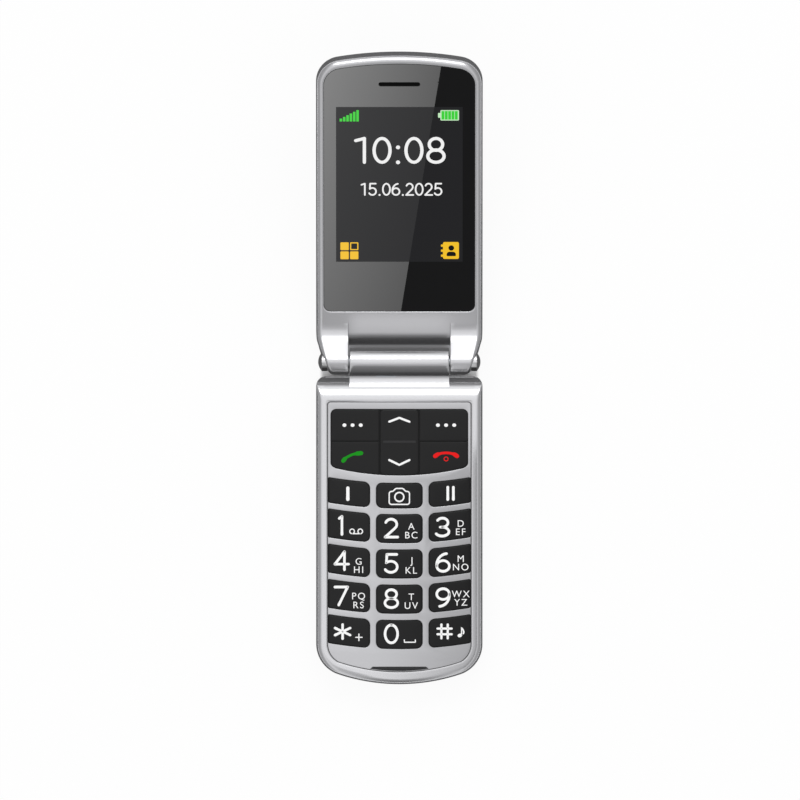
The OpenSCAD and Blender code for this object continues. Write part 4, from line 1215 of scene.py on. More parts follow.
    def faceplate(self) -> Piece:
        """Makes the faceplate: a thin plate whose outer edge and openings are rounded over."""
        soft, top = self.edge_r, self.plate_top
        under = top - self.plate_t
        rounding = [(i, top - d) for i, d in quarter(soft, soft, 6)]
        levels = [(0.0, under), *rounding, (soft + 0.1, top)]
        shape = Loft().add(rings_at(lambda i: self.shells.plate_outline(-i), levels)).data()
        made = make_mesh("keypad_plate", shape, PLATE_SILVER)
        steps = [(0.0, under - OVERCUT), *rounding, (soft + 0.05, top + OVERCUT / 2)]
        tool = Loft()
        for outline in self.seats():
            tool.add(rings_at(lambda g: outline(-self.clear - g), steps))
        return carve(made, [tool.data()])

    def deck(self) -> Piece:
        """Makes the near-black deck under the faceplate, in which the keys are seated; its black is
        partly the inner plastic's own colour and partly painted shade in the gaps round the keys.
        """
        holes = [outline(-self.clear) for outline in self.seats()]
        return plate_with_holes("key_deck", self.shells.plate_outline(self.deck_grow), holes,
                                self.shells.deck_bottom,
                                self.plate_top - self.plate_t - self.deck_gap, self.deck_bevel,
                                BLACK_ABS_AND_WELL_SHADE)

    def pad(self) -> Piece:
        """Makes the soft pad: its foot follows the base's end, its head is straight."""
        plan = self.shells.plan
        low = plan.base_bottom + self.shells.chin_rim + self.pad_gap
        x = np.linspace(-self.pad_foot, self.pad_foot, 25)
        foot = np.column_stack([x, low + sag(plan.base_end_r, x)])
        head = np.array([(x, low + self.pad_h) for x in (self.pad_head, 0.0, -self.pad_head)])
        flat = np.concatenate([foot, head])
        # The edge draws in by pad_draw's shares of the way to the middle, along and across
        draw = (np.array([0.0, low + self.pad_h / 2]) - flat) * np.array(self.pad_draw)
        top = self.plate_top + self.pad_rise
        levels = [(0.0, self.plate_top - self.pad_sink), (0.0, top - 0.15), (0.05, top - 0.05),
                  (self.pad_edge, top)]
        rings = rings_at(lambda i: flat + draw * i / self.pad_edge, levels)
        return make_mesh("rest_pad", Loft().add(rings).data(), SOFT_GREY)

    def plates(self) -> None:
        """Makes the faceplate, the deck under it and the soft pad at its lower end."""
        fit_on(self.faceplate(), "base", "keypad_faceplate", slot="silver_paint")
        fit_on(self.deck(), "base", slot="inner_plastic")
        fit_on(self.pad(), "base", "lid_rest_pad", slot="soft_pad")

    def key(self, name: str, cap: Shape, centre: tuple[float, float], sign: Sign) -> None:
        """Makes one key: its cap, and its sign as one thin raised piece on the top.

        Args:
            name: the key's body and construction node.
            cap: the cap's points and faces.
            centre: where the sign stands.
            sign: what is printed.
        """
        fit_on(make_mesh(f"{name}_cap", cap, KEY_BLACK, sharp=60), name, name, slot="key_black")
        z = self.key_top - self.print_sink
        loft = Loft()
        for path, width, closed in sign.strokes:
            add_stroke(loft, path + centre, width, self.ink, z, closed)
        for text in sign.letters:
            placed = replace(text, x=centre[0] + text.x, y=centre[1] + text.y)
            loft.take(*placed.shape(z - self.ink / 2, 1.5 * self.ink))
        fit_on(make_mesh(f"{name}_print", loft.data(), sign.finish), name, slot="key_black")

    def plungers(self) -> None:
        """Makes the fifteen plunger keys. A side key's outer side slants in over its edge."""
        for column, row, name, sign in KEYS:
            most = 0.0 if column is Column.MIDDLE else self.slant_most

            def outline(inset: float, column: Column = column, row: int = row,
                        most: float = most) -> np.ndarray:
                share = min(max(inset / self.key_edge, 0), 1)
                return self.key_outline(column, row, inset, most * share)

            cap = self.cap(outline, self.key_edge, self.key_dome, self.cap_rim)
            self.key(name, cap, self.key_centre(column, row), sign)

    def cluster(self) -> None:
        """Makes the soft, call and end keys and the rocker."""
        half, gap = self.rocker_w / 2, self.nav_gap / 2
        cross = 1 - self.nav_cross / self.nav_len
        share = gap / self.nav_len
        tiny, big = self.cell_r, self.nav_r
        top = self.shells.plan.axis_y - self.nav_start
        # A row's lower and upper edge, and how many upper rows down its signs stand
        upper, lower = (cross + share, 1.0, 0.5), (0.0, cross - share, 1.35)
        cells = [
            ("soft_key_left", -1, upper, [tiny, tiny, big, tiny]),
            ("soft_key_right", 1, upper, [tiny, big, tiny, tiny]),
            ("call_key", -1, lower, [tiny, tiny, tiny, big]),
            ("end_key", 1, lower, [big, tiny, tiny, tiny]),
        ]
        for name, side, (t0, t1, rows_down), radii in cells:
            x0, x1 = (half + gap, self.nav_half) if side > 0 else (-self.nav_half, -half - gap)
            cap = self.cap(lambda i: self.nav_cell(x0, x1, t0, t1, i, radii), self.cell_edge,
                           self.nav_dome, self.cap_rim)
            self.key(name, cap, (side * self.nav_sign_x, top - self.nav_cross * rows_down),
                     NAV_SIGNS[name])
        cap = self.cap(
            lambda i: self.nav_cell(-half + gap, half - gap, 0.0, 1.0, i, [self.rocker_r] * 4),
            self.rocker_edge, self.nav_dome, self.rocker_rim)
        middle = top - self.nav_len / 2
        self.key("nav_rocker", cap, (0.0, middle), NAV_SIGNS["nav_rocker"])
        self.rocker_bar(middle)

    def rocker_bar(self, middle: float) -> None:
        """Makes the soft bar across the rocker, a little above its middle."""
        bar = Loft()
        y = middle + self.bar_up
        add_stroke(bar, straight((-self.bar_half, y), (self.bar_half, y)), self.bar_w, self.bar_h,
                   self.key_top - self.bar_sink)
        fit_on(make_mesh("nav_rocker_bar", bar.data(), SOFT_GREY), "nav_rocker", slot="key_black")

    def build(self) -> None:
        """Makes the whole keypad."""
        self.plates()
        self.plungers()
        self.cluster()


DIGIT_H, DIGIT_W, DIGIT_PEN = 6.2, 4.6, 0.82
LETTER_H, LETTER_SPACING = 2.1, 1.25
FINE_PEN = 0.36


def digit(text: str, x: float, y: float) -> list[Line]:
    """Returns the pen's lines of a key's large digit, offset from the key's centre."""
    return Figures(text, DIGIT_H, x, y, DIGIT_W, DIGIT_PEN).lines()


def small(text: str, x: float, y: float) -> Lettering:
    """Returns a line of a key's small letters."""
    return Lettering(text, LETTER_H, x, y, LETTER_SPACING)


def ring_path(x: float, y: float, radius: float, pen: float = FINE_PEN) -> Line:
    """Returns a thin printed circle."""
    return circle(x, y, radius, 32), pen, True


def bar_path(*points: Sequence[float], width: float = FINE_PEN) -> Line:
    """Returns a printed line through points, with a few steps between them."""
    steps = [np.linspace(a, b, 5)[:-1] for a, b in zip(points, points[1:])]
    return np.concatenate(steps + [[points[-1]]]), width, False


def letter_block(upper: str, lower: str, column: Column) -> list[Lettering]:
    """Returns a key's two lines of small letters, placed as the column needs."""
    x, high, low = {Column.LEFT: (2.9, -0.1, -2.6), Column.MIDDLE: (3.6, 0.75, -1.9),
                    Column.RIGHT: (3.3, 0.7, -1.8)}[column]
    return [small(upper, x, high), small(lower, x, low)]


def digit_sign(text: str, column: Column, upper: str = "", lower: str = "") -> Sign:
    """Returns the print of a digit key."""
    x, y = {Column.LEFT: (-2.3, 0.1), Column.MIDDLE: (-2.4, 0.2), Column.RIGHT: (-2.0, -0.4)}[column]
    return Sign(letter_block(upper, lower, column) if upper else [], digit(text, x, y))


def camera_sign() -> Sign:
    """Returns the camera key's outline drawing: a rounded case with a hump, and a lens."""
    case = rounded_rect(-3.05, 3.05, -2.6, 1.3, [0.7] * 4, 6, 15)
    rise = np.clip((1.95 - np.abs(case[:, 0])) / 0.9, 0, 1)
    case[:, 1] += np.where(case[:, 1] > 1.2, 0.9 * rise, 0)
    return Sign(strokes=[(case, 0.4, True), ring_path(0, -0.36, 1.35, 0.48)])


def handset(path: Sequence[Sequence[float]]) -> Line:
    """Returns a handset's drawing: one line through points, slim at the middle, thick at its ends.

    The width is slim + swell * s, where s rises smoothly from 0 to 1 towards either end.
    """
    slim, swell = 0.85, 0.55
    points = np.array(path)
    turns = np.linspace(0, 1, 25)
    x, y = (np.interp(turns, np.linspace(0, 1, len(points)), points[:, k]) for k in (0, 1))
    rise = np.clip((np.abs(2 * turns - 1) - 0.45) / 0.3, 0, 1)
    return np.column_stack([x, y]), slim + swell * rise * rise * (3 - 2 * rise), False


LEFT, MIDDLE, RIGHT = Column.LEFT, Column.MIDDLE, Column.RIGHT
VOICE_SIGN = [ring_path(0.95, -1.67, 0.7), ring_path(3.4, -1.67, 0.7),
              bar_path((0.95, -2.37), (3.4, -2.37))]
STAR_SIGN = [bar_path((-1.9 + 2.6 * math.cos(a), 2.1 * math.sin(a)),
                      (-1.9 - 2.6 * math.cos(a), -2.1 * math.sin(a)), width=0.8)
             for a in (math.pi / 2, math.pi / 6, -math.pi / 6)]
HASH_SIGN = [bar_path((x, -2.0), (x, 2.1), width=0.72) for x in (-2.5, -0.6)]
HASH_SIGN += [bar_path((-3.65, y), (0.55, y), width=0.72) for y in (-0.8, 0.9)]
NOTE_SIGN = [bar_path((2.9, -1.2), (3.2, -1.1), width=1.1), bar_path((3.55, -1.0), (3.55, 1.1)),
             bar_path((3.55, 1.1), (4.0, 0.55), (4.25, -0.1), (4.1, -0.6), width=0.45)]
KEYS: list[tuple[Column, int, str, Sign]] = [
    (LEFT, 0, "quick_key_1", Sign(strokes=[bar_path((-0.33, -1.95), (-0.33, 1.4), width=1.05)])),
    (MIDDLE, 0, "camera_key", camera_sign()),
    (RIGHT, 0, "quick_key_2", Sign(strokes=[
        bar_path((x, -2.0), (x, 1.65), width=0.85) for x in (-0.58, 1.09)])),
    (LEFT, 1, "key_1", Sign(strokes=digit("1", -2.5, 0.1) + VOICE_SIGN)),
    (MIDDLE, 1, "key_2", digit_sign("2", MIDDLE, "A", "BC")),
    (RIGHT, 1, "key_3", digit_sign("3", RIGHT, "D", "EF")),
    (LEFT, 2, "key_4", digit_sign("4", LEFT, "G", "HI")),
    (MIDDLE, 2, "key_5", digit_sign("5", MIDDLE, "J", "KL")),
    (RIGHT, 2, "key_6", digit_sign("6", RIGHT, "M", "NO")),
    (LEFT, 3, "key_7", digit_sign("7", LEFT, "PQ", "RS")),
    (MIDDLE, 3, "key_8", digit_sign("8", MIDDLE, "T", "UV")),
    (RIGHT, 3, "key_9", digit_sign("9", RIGHT, "WX", "YZ")),
    (LEFT, 4, "key_star", Sign(strokes=STAR_SIGN + [
        bar_path((3.0, -2.7), (3.0, -0.75)), bar_path((2.05, -1.72), (3.95, -1.72))])),
    (MIDDLE, 4, "key_0", Sign(strokes=digit("0", -2.4, 0.2) + [
        bar_path((1.5, -1.6), (1.5, -2.3), (4.8, -2.3), (4.8, -1.6))])),
    (RIGHT, 4, "key_hash", Sign(strokes=HASH_SIGN + NOTE_SIGN)),
]
DOTS = [bar_path((x - 0.02, 0.1), (x + 0.02, 0.1), width=1.16) for x in (-2.45, 0.0, 2.45)]
UP = [bar_path((-3.0, 6.2), (0.0, 7.35), (3.0, 6.2), width=0.7)]
DOWN = [bar_path((-3.0, -5.35), (0.0, -6.8), (3.0, -5.35), width=0.7)]
NAV_SIGNS: dict[str, Sign] = {
    "soft_key_left": Sign(strokes=DOTS),
    "soft_key_right": Sign(strokes=DOTS),
    "call_key": Sign(strokes=[handset([(-2.76, -2.4), (-2.2, -1.75), (-1.67, -1.36), (-0.6, -0.8),
                                       (0.15, -0.5), (1.2, -0.3), (2.5, -0.15)])], finish=GREEN_INK),
    "end_key": Sign(strokes=[handset([(-3.25, -1.0), (-2.5, -0.5), (-1.2, -0.15), (0.0, -0.05),
                                      (1.2, -0.15), (2.5, -0.5), (3.25, -1.0)]),
                             ring_path(0.0, -1.9, 0.6, 0.3)], finish=RED_INK),
    "nav_rocker": Sign(strokes=UP + DOWN),
}


# ---- Lid ----


@dataclass
class LidShells:
    """The lid's two housings and its windows, drawn in the lid's own frame (x, u, v)."""

    plan: Plan
    face: float = -2.8
    split: float = -6.2
    back: float = -10.0
    rim_w: float = 2.05
    rim_h: float = 1.7
    back_w: float = 2.6
    back_h: float = 2.8
    lens_side: float = 2.25
    lens_start: float = 15.0
    lens_r: float = 2.3
    lens_t: float = 1.0
    lens_set: float = 0.15
    lens_gap: float = 0.05
    chamfer: float = 0.12
    ear_r: float = 3.9
    ear_x: float = 15.25
    ear_soft: float = 0.25
    ear_foot_u: float = -3.2
    lip_u: float = -1.9
    room_u: float = -9.0
    foot_r: float = 1.2
    flat_inset: float = 0.1
    eye_u: float = 25.0
    eye_r: float = 4.0
    pane_u: float = 51.0
    pane_half_w: float = 15.0
    pane_half_h: float = 13.0
    pane_r: float = 3.0
    pane_gap: float = 0.05
    pane_deep: float = 0.7
    pane_set: float = 0.1
    pane_edge: float = 0.3
    pane_flat: float = 0.5
    ramp_u: float = 11.3
    ramp_v: float = 4.5
    ramp_r: float = 7.3
    wrap_r: float = 7.0
    brow_start: float = 8.5
    brow_end: float = 3.5
    brow_r: float = 6.8
    crest_draw: float = 2.0
    crest_edge: float = 0.7
    slot_u: float = 87.4
    slot_w: float = 12.3
    slot_h: float = 1.1
    mesh_gap: float = 0.03
    mesh_set: float = 0.15
    mesh_t: float = 0.6

    def outline(self, inset: float, start: float, foot_r: float = 0.02) -> np.ndarray:
        """Returns the lid in plan from u = start outwards, anticlockwise.

        Args:
            inset: how far sides and end are drawn in.
            start: where the straight lower edge lies.
            foot_r: radius of the two lower corners.

        Returns:
            Points (x, u), always the same number of them.
        """
        p = self.plan
        bx, by, turn = p.end_corner(-p.lid_end, p.lid_end_r, p.lid_corner_r)
        x = p.half_w - inset
        arcs = [
            arc((x - foot_r, start + foot_r), foot_r, -90, 0, 12),
            arc((bx, -by), p.lid_corner_r - inset, 0, -turn, 24),
            arc((0, p.lid_end - p.lid_end_r), p.lid_end_r - inset, -turn, 180 + turn, 50)[1:-1],
            arc((-bx, -by), p.lid_corner_r - inset, 180 + turn, 180, 24),
            arc((foot_r - x, start + foot_r), foot_r, 180, 270, 12),
        ]
        flat = joined(arcs, [90, 0, 0, 90, 40])
        flat[:, 0] *= p.lid_half(flat[:, 1]) / p.half_w
        return flat

    def rim(self) -> Loft:
        """Lofts the front housing beyond the ramps: side wall, round rim, chamfer to the window."""
        start = self.ramp_u
        levels = [(0.0, self.split)]
        levels += [(i, self.face - d) for i, d in quarter(self.rim_w, self.rim_h, 12)]
        outer = rings_at(lambda i: self.outline(i, start), levels)
        gap, chamfer = self.lens_gap, self.chamfer
        lens = rings_at(lambda g: self.outline(self.lens_side - gap - g, self.lens_start - gap - g,
                                               self.lens_r + g),
                        [(chamfer, self.face), (0.0, self.face - chamfer * 0.8),
                         (0.0, self.face - self.lens_set - self.lens_t)])
        t = np.linspace(0, 1, 10)[1:-1, None, None]
        middle = outer[-1] * (1 - t) + lens[0] * t
        return Loft().add(np.concatenate([outer, middle, lens]), caps=(True, True))

    def ear_path(self) -> tuple[np.ndarray, np.ndarray]:
        """Returns the side profile through an ear and its outward normals.

        It runs from the face down the hollow ramp, up its straight flank, round the ear about the
        hinge axis, and down the back to the parting line.
        """
        ramp = np.array([self.ramp_u, self.ramp_v])
        reach = np.linalg.norm(ramp)
        normal = (90 + math.degrees(math.atan2(ramp[1], ramp[0]))
                  - math.degrees(math.asin((self.ramp_r + self.ear_r) / reach)))
        hollow_n = -spokes(-90, normal - 180, 26)
        n = spokes(normal, normal, 1)
        crest_n = spokes(normal, 180, 40)
        flank = line(ramp - self.ramp_r * n[0], self.ear_r * n[0], 5)
        wrap = np.array([self.wrap_r - self.ear_r, self.back + self.wrap_r])
        sweep = math.degrees(math.asin((wrap[1] - self.split) / self.wrap_r))
        wrap_n = spokes(180, 180 + sweep, 8)
        path = np.concatenate([ramp - self.ramp_r * hollow_n, flank, self.ear_r * crest_n,
                               wrap + self.wrap_r * wrap_n])
        return path, np.concatenate([hollow_n, np.repeat(n, 5, axis=0), crest_n, wrap_n])

    def ears(self, loft: Loft) -> None:
        """Adds both ears: across each station of the side profile runs a round-edged section.

        The outer side follows the lid's plan and draws in towards the ear's crest by
        crest_draw * height ** 1.2, so that the ear narrows as it rises. The edge rounding gets
        smaller by crest_edge on the way up.
        """
        path, normals = self.ear_path()
        base = np.column_stack([np.clip(path[:, 0], self.ear_foot_u, None),
                                np.full(len(path), self.split)])
        inner = self.ear_x + self.ear_soft
        edge = quarter(self.rim_w, self.rim_h, 10)[::-1]
        share = 1 - self.crest_edge * self.ear_rise(path)
        far = self.side_x(path) - self.rim_w * share
        for side in (-1, 1):
            columns = [(np.full(len(path), self.ear_x), base)]
            for i, d in quarter(self.ear_soft, self.ear_soft, 4):
                columns.append((np.full(len(path), self.ear_x + i), path - normals * d))
            for t in (0.2, 0.4, 0.6, 0.8):
                columns.append((inner + t * (far - inner), path))
            for i, d in edge:
                at = path - normals * (d * share)[:, None]
                columns.append((self.side_x(at) - i * share, at))
            columns.append((self.side_x(base), base))
            rings = np.stack([np.column_stack([side * x, flat]) for x, flat in columns], axis=1)
            loft.add(rings, caps=(False, False), flip=side > 0)

    def side_x(self, flat: np.ndarray) -> np.ndarray:
        """Returns the ear's half width at points (u, v) of its side profile."""
        return self.plan.lid_half(flat[:, 0]) - self.crest_draw * self.ear_rise(flat) ** 1.2

    def ear_rise(self, flat: np.ndarray) -> np.ndarray:
        """Returns how far points (u, v) lie between the face, 0, and the ear's crest, 1."""
        return np.clip((flat[:, 1] - self.face) / (self.ear_r - self.face), 0, 1)

    def brow(self, loft: Loft) -> None:
        """Adds the middle between the ears, which rounds down towards the barrel."""
        sweep = math.degrees(math.acos((self.brow_start - self.brow_end) / self.brow_r))
        top = arc((self.brow_start, self.face - self.brow_r), self.brow_r, 90, 180 - sweep, 24)
        low = top[-1, 1]
        profile = np.concatenate([[(self.ramp_u, self.face)], top,
                                  [(self.lip_u, low), (self.lip_u, self.split),
                                   (self.ramp_u, self.split)]])
        loft.add(along_x(profile, (-self.ear_x, self.ear_x)), flip=True)

    def front(self) -> Piece:
        """Makes the front housing: rim, ears and brow."""
        loft = self.rim()
        self.ears(loft)
        self.brow(loft)
        return make_mesh("lid_front_shell", loft.data(), SATIN_SILVER, self.plan.on_lid)

    def wrap(self, v: float) -> float:
        """Returns where the lid's outline starts at height v, as its back wraps the hinge."""
        past = min(max((self.back + self.wrap_r - v) / self.wrap_r, 0.0), 1.0)
        return self.wrap_r - self.ear_r - self.wrap_r * math.sqrt(1 - past ** 2)

    def rear(self) -> Piece:
        """Makes the rear housing: a round-edged shell with room for barrel and windows."""
        levels = [(self.back_w + self.flat_inset, self.back)]
        levels += [(i, self.back + d) for i, d in quarter(self.back_w, self.back_h, 12)[::-1]]
        levels += [(0.0, v) for v in np.linspace(self.back + self.back_h, self.split, 3)[1:]]
        rings = np.stack([raised(self.outline(inset, self.wrap(v), self.foot_r), v)
                          for inset, v in levels])
        made = make_mesh("lid_rear_shell", Loft().add(rings).data(), SATIN_SILVER,
                         self.plan.on_lid)
        cuts = [box_mesh((-self.ear_x, self.room_u, self.back - 2 * OVERCUT),
                         (self.ear_x, self.lip_u, self.split + OVERCUT))]
        for hole in (self.eye(self.pane_gap), self.pane(self.pane_gap)):
            cuts.append(prism(hole, self.back - OVERCUT, self.back + self.pane_deep))
        return carve(made, cuts, self.plan.on_lid)

    def eye(self, grow: float) -> np.ndarray:
        """Returns the camera window's outline, grown by a clearance."""
        return circle(0, self.eye_u, self.eye_r + grow, 64)

    def pane(self, grow: float) -> np.ndarray:
        """Returns the outer window's outline, grown by a clearance."""
        x, h = self.pane_half_w + grow, self.pane_half_h + grow
        return rounded_rect(-x, x, self.pane_u - h, self.pane_u + h,
                            [self.pane_r + min(grow, 0.0)] * 4, 12, 4)

    def slot(self, grow: float) -> np.ndarray:
        """Returns the earpiece slot's outline, grown by a clearance."""
        x, h = self.slot_w / 2 + grow, self.slot_h / 2 + grow
        return rounded_rect(-x, x, self.slot_u - h, self.slot_u + h, [h] * 4, 8, 6)

    def lens(self) -> Piece:
        """Makes the display window with its earpiece slot."""
        top = self.face - self.lens_set
        outline = self.outline(self.lens_side, self.lens_start, self.lens_r)
        made = plate_with_holes("display_lens", outline, [self.slot(0.0)], top - self.lens_t, top,
                                self.chamfer, GLOSS_BLACK)
        return on_lid_mesh(made, self.plan)

    def grille(self) -> Piece:
        """Makes the dull black mesh that closes the earpiece slot."""
        top = self.face - self.lens_set - self.mesh_set
        return make_mesh("earpiece_grille", prism(self.slot(-self.mesh_gap), top - self.mesh_t, top),
                         MESH_BLACK, self.plan.on_lid)

    def back_panes(self) -> list[Piece]:
        """Makes the outer window and the camera window, each with a soft edge."""
        low, edge = self.back + self.pane_set, self.pane_edge
        levels = [(self.pane_flat, low)]
        levels += [(i, low + d) for i, d in quarter(edge, edge, 6)[::-1]]
        levels.append((0.0, self.back + self.pane_deep))
        panes = []
        for name, outline in (("outer_pane", self.pane), ("camera_pane", self.eye)):
            shape = Loft().add(rings_at(lambda i: outline(-i), levels)).data()
            panes.append(make_mesh(name, shape, GLOSS_BLACK, self.plan.on_lid))
        return panes

    def build(self) -> None:
        """Makes the lid's shells and windows and sets them on the lid."""
        fit_on(self.front(), "lid", "lid_front_housing", slot="silver_paint")
        fit_on(self.rear(), "lid", "lid_rear_housing", slot="silver_paint")
        fit_on(self.lens(), "lid", "display_window", slot="window_black")
        fit_on(self.grille(), "lid", "earpiece_mesh", slot="inner_plastic")
        outer, camera = self.back_panes()
        fit_on(outer, "lid", "outer_window", slot="window_black")
        fit_on(camera, "lid", "camera_window", slot="window_black")


def on_lid_mesh(made: Piece, plan: Plan) -> Piece:
    """Moves a mesh that was drawn flat, in metres, into the lid's place."""
    turn = Matrix.Rotation(math.radians(plan.lean), 4, "X")
    shift = Matrix.Translation((0, plan.axis_y * MM, plan.axis_z * MM))
    made.data.transform(shift @ turn)
    return made


@dataclass
class Display:
    """What the lit display shows: its field, signs and generic figures, in (x, u)."""

    plan: Plan
    glass: float = LidShells.face - LidShells.lens_set
    half_w: float = 19.0
    low: float = 30.9
    high: float = 80.2
    lift: float = 0.012
    margin: float = 1.0

    def panel(self, name: str, outlines: Sequence[np.ndarray], level: int,
              finish: Backlight) -> None:
        """Lays lit shapes of one colour on the window as one piece, level steps above it."""
        top = self.glass + self.lift * level
        loft = Loft()
        for outline in outlines:
            loft.take(*prism(outline, top - self.lift, top))
        made = make_mesh(name, loft.data(), finish, self.plan.on_lid)
        fit_on(made, "lid", slot="screen")

    def figures(self, name: str, text: Figures) -> None:
        """Lays lit figures on the window."""
        loft = Loft()
        for path, width, closed in text.lines():
            add_stroke(loft, path, width, self.lift, self.glass + self.lift, closed)
        made = make_mesh(name, loft.data(), SCREEN_WHITE, self.plan.on_lid)
        fit_on(made, "lid", slot="screen")

    def status(self) -> None:
        """Makes the signal bars and the battery sign along the upper edge."""
        top = self.high - self.margin
        start, pitch, wide, tall, step = -17.9, 1.0, 0.75, 0.9, 0.54
        foot = top - 3.6
        bars = [rounded_rect(start + pitch * i, start + pitch * i + wide, foot, foot + tall + step * i,
                             [0.03] * 4, 2, 1) for i in range(6)]
        self.panel("signal_bars", bars, 2, SCREEN_GREEN)
        case = rounded_rect(12.3, 17.9, top - 3.3, top, [0.3] * 4, 4, 2)
        self.panel("battery_frame", [case], 2, SCREEN_PALE)
        nub = rounded_rect(11.6, 12.35, top - 2.4, top - 0.9, [0.15] * 4, 4, 2)
        self.panel("battery_nub", [nub], 2, SCREEN_PALE)
        cells = [rounded_rect(12.65 + i, 13.5 + i, top - 3.0, top - 0.3, [0.05] * 4, 2, 1)
                 for i in range(5)]
        self.panel("battery_cells", cells, 3, SCREEN_GREEN)

    def menu_sign(self) -> None:
        """Makes the menu sign: four squares, the upper right one hollow."""
        x0, u0, side, pitch, wall = -17.7, 31.7, 2.5, 2.9, 0.35
        x1, u1 = x0 + pitch, u0 + pitch
        squares = [rounded_rect(x, x + side, u, u + side, [0.25] * 4, 4, 1)
                   for x, u in ((x0, u0), (x0, u1), (x1, u0))]
        self.panel("menu_squares", squares, 2, SCREEN_YELLOW)
        frame_outline = rounded_rect(x1, x1 + side, u1, u1 + side, [0.25] * 4, 4, 1)
        self.panel("menu_frame", [frame_outline], 2, SCREEN_YELLOW)
        hollow = rounded_rect(x1 + wall, x1 + side - wall, u1 + wall, u1 + side - wall,
                              [0.1] * 4, 4, 1)
        self.panel("menu_hollow", [hollow], 3, SCREEN_BLACK)

    def book_sign(self) -> None:
        """Makes the sign for contacts: a book with tabs and a figure on its cover."""
        self.panel("book_cover", [rounded_rect(13.1, 17.9, 31.8, 37.2, [0.5] * 4, 5, 1)], 2,
                   SCREEN_YELLOW)
        tabs = [rounded_rect(12.5, 13.4, u, u + 0.7, [0.1] * 4, 3, 1) for u in (32.5, 34.1, 35.7)]
        self.panel("book_tabs", tabs, 2, SCREEN_YELLOW)
        head = circle(15.6, 35.3, 0.85, 24)
        chest = rounded_rect(14.2, 17.0, 32.7, 34.1, [0.3, 0.9, 0.9, 0.3], 5, 1)
        self.panel("book_figure", [head, chest], 3, SCREEN_BLACK)

    def build(self) -> None:
        """Makes the display's field and everything on it."""
        whole = rounded_rect(-self.half_w, self.half_w, self.low, self.high, [0.05] * 4, 3, 3)
        self.panel("display_field", [whole], 1, SCREEN_GREY)
        self.status()
        self.figures("clock_figures", Figures("10:08", 8.6, -0.4, 66.4, 5.8, 1.0, 6.6, 2.6))
        self.figures("date_figures", Figures("15.06.2025", 4.1, 0.4, 54.0, 2.65, 0.5, 2.85, 1.0))
        self.menu_sign()
        self.book_sign()


# ---- Carried-over pieces ----


STEEL = Finish("rolled_stainless_steel", "9a9da2", "a6a9ae", 0.32, metallic=1.0, grain_mm=0.2,
               stretch=(1.0, 12.0, 1.0), bump=0.06)
GOLD = Finish("gold_plated_contacts", "d8b45c", "e0be6a", 0.25, metallic=1.0, grain_mm=0.3)
BOARD = Finish("solder_masked_board", "14502a", "195c32", 0.35, grain_mm=0.5, bump=0.2)
FILM = Finish("polyimide_film", "a8641c", "b26e24", 0.3, grain_mm=0.6, bump=0.05)
BATTERY = Finish("printed_battery_wrap", "30343c", "373b44", 0.38, grain_mm=0.5, bump=0.08)
RED_KEY = Finish("red_moulded_key", "b81c1c", "c22424", 0.4, grain_mm=0.2, bump=0.1)
SILICONE = Finish("grey_silicone_rubber", "55555a", "5e5e63", 0.7, ior=1.42, grain_mm=0.3, bump=0.2)
INSIDE: dict[str, Finish] = {
    "key_mat": SILICONE, "dome_sheet": FILM, "main_board": BOARD, "shield_cans": STEEL,
    "sim_holder": STEEL, "usb_socket": STEEL, "loudspeaker": BLACK_ABS_AND_WELL_SHADE, "vibration_motor": STEEL,
    "microphone": STEEL, "antenna_carrier": BLACK_ABS_AND_WELL_SHADE, "battery": BATTERY,
    "battery_contacts": GOLD, "base_screws": STEEL, "emergency_key": RED_KEY,
    "emergency_switch": STEEL, "hinge_cartridge": STEEL, "hinge_bush": STEEL, "base_flex": STEEL,
    "hinge_spindle": STEEL, "hinge_tube": STEEL, "hinge_end_caps": CHROME, "lid_flex": BLACK_ABS_AND_WELL_SHADE,
    "display_module": GLOSS_BLACK, "display_gasket": SILICONE, "earpiece": BLACK_ABS_AND_WELL_SHADE,
    "lid_board": BOARD, "lid_magnet": STEEL, "camera_module": GLOSS_BLACK,
    "outer_display": GLOSS_BLACK,
}


def dress_inside() -> None:
    """Gives each construction piece that stays its own finish."""
    for name, finish in INSIDE.items():
        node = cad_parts[name]
        node.data.materials.clear()
        node.data.materials.append(finish.material())
        LOG.info("%s finished in %s", name, finish.name)


# ---- Studio ----

STEEPEST = 1.25  # the steepest slope that the tent's ramps cover
# How bright the tent looks to a surface that leans by a slope: south is negative lengthwise,
# and west is negative across
ALONG = {-1.25: 0.03, -0.9: 0.08, -0.6: 0.17, -0.42: 0.38, -0.32: 0.42, -0.1: 0.6, -0.04: 0.95,
         0.04: 1.0, 0.2: 1.08, 0.62: 1.1, 0.8: 0.25, 1.0: 0.12, 1.25: 0.05}
ACROSS = {-1.25: 0.05, -1.0: 0.12, -0.9: 0.36, -0.4: 0.44, -0.25: 0.85, -0.08: 0.95, 0.08: 0.85,
          0.25: 0.75, 0.4: 0.42, 0.9: 0.34, 1.0: 0.1, 1.25: 0.05}


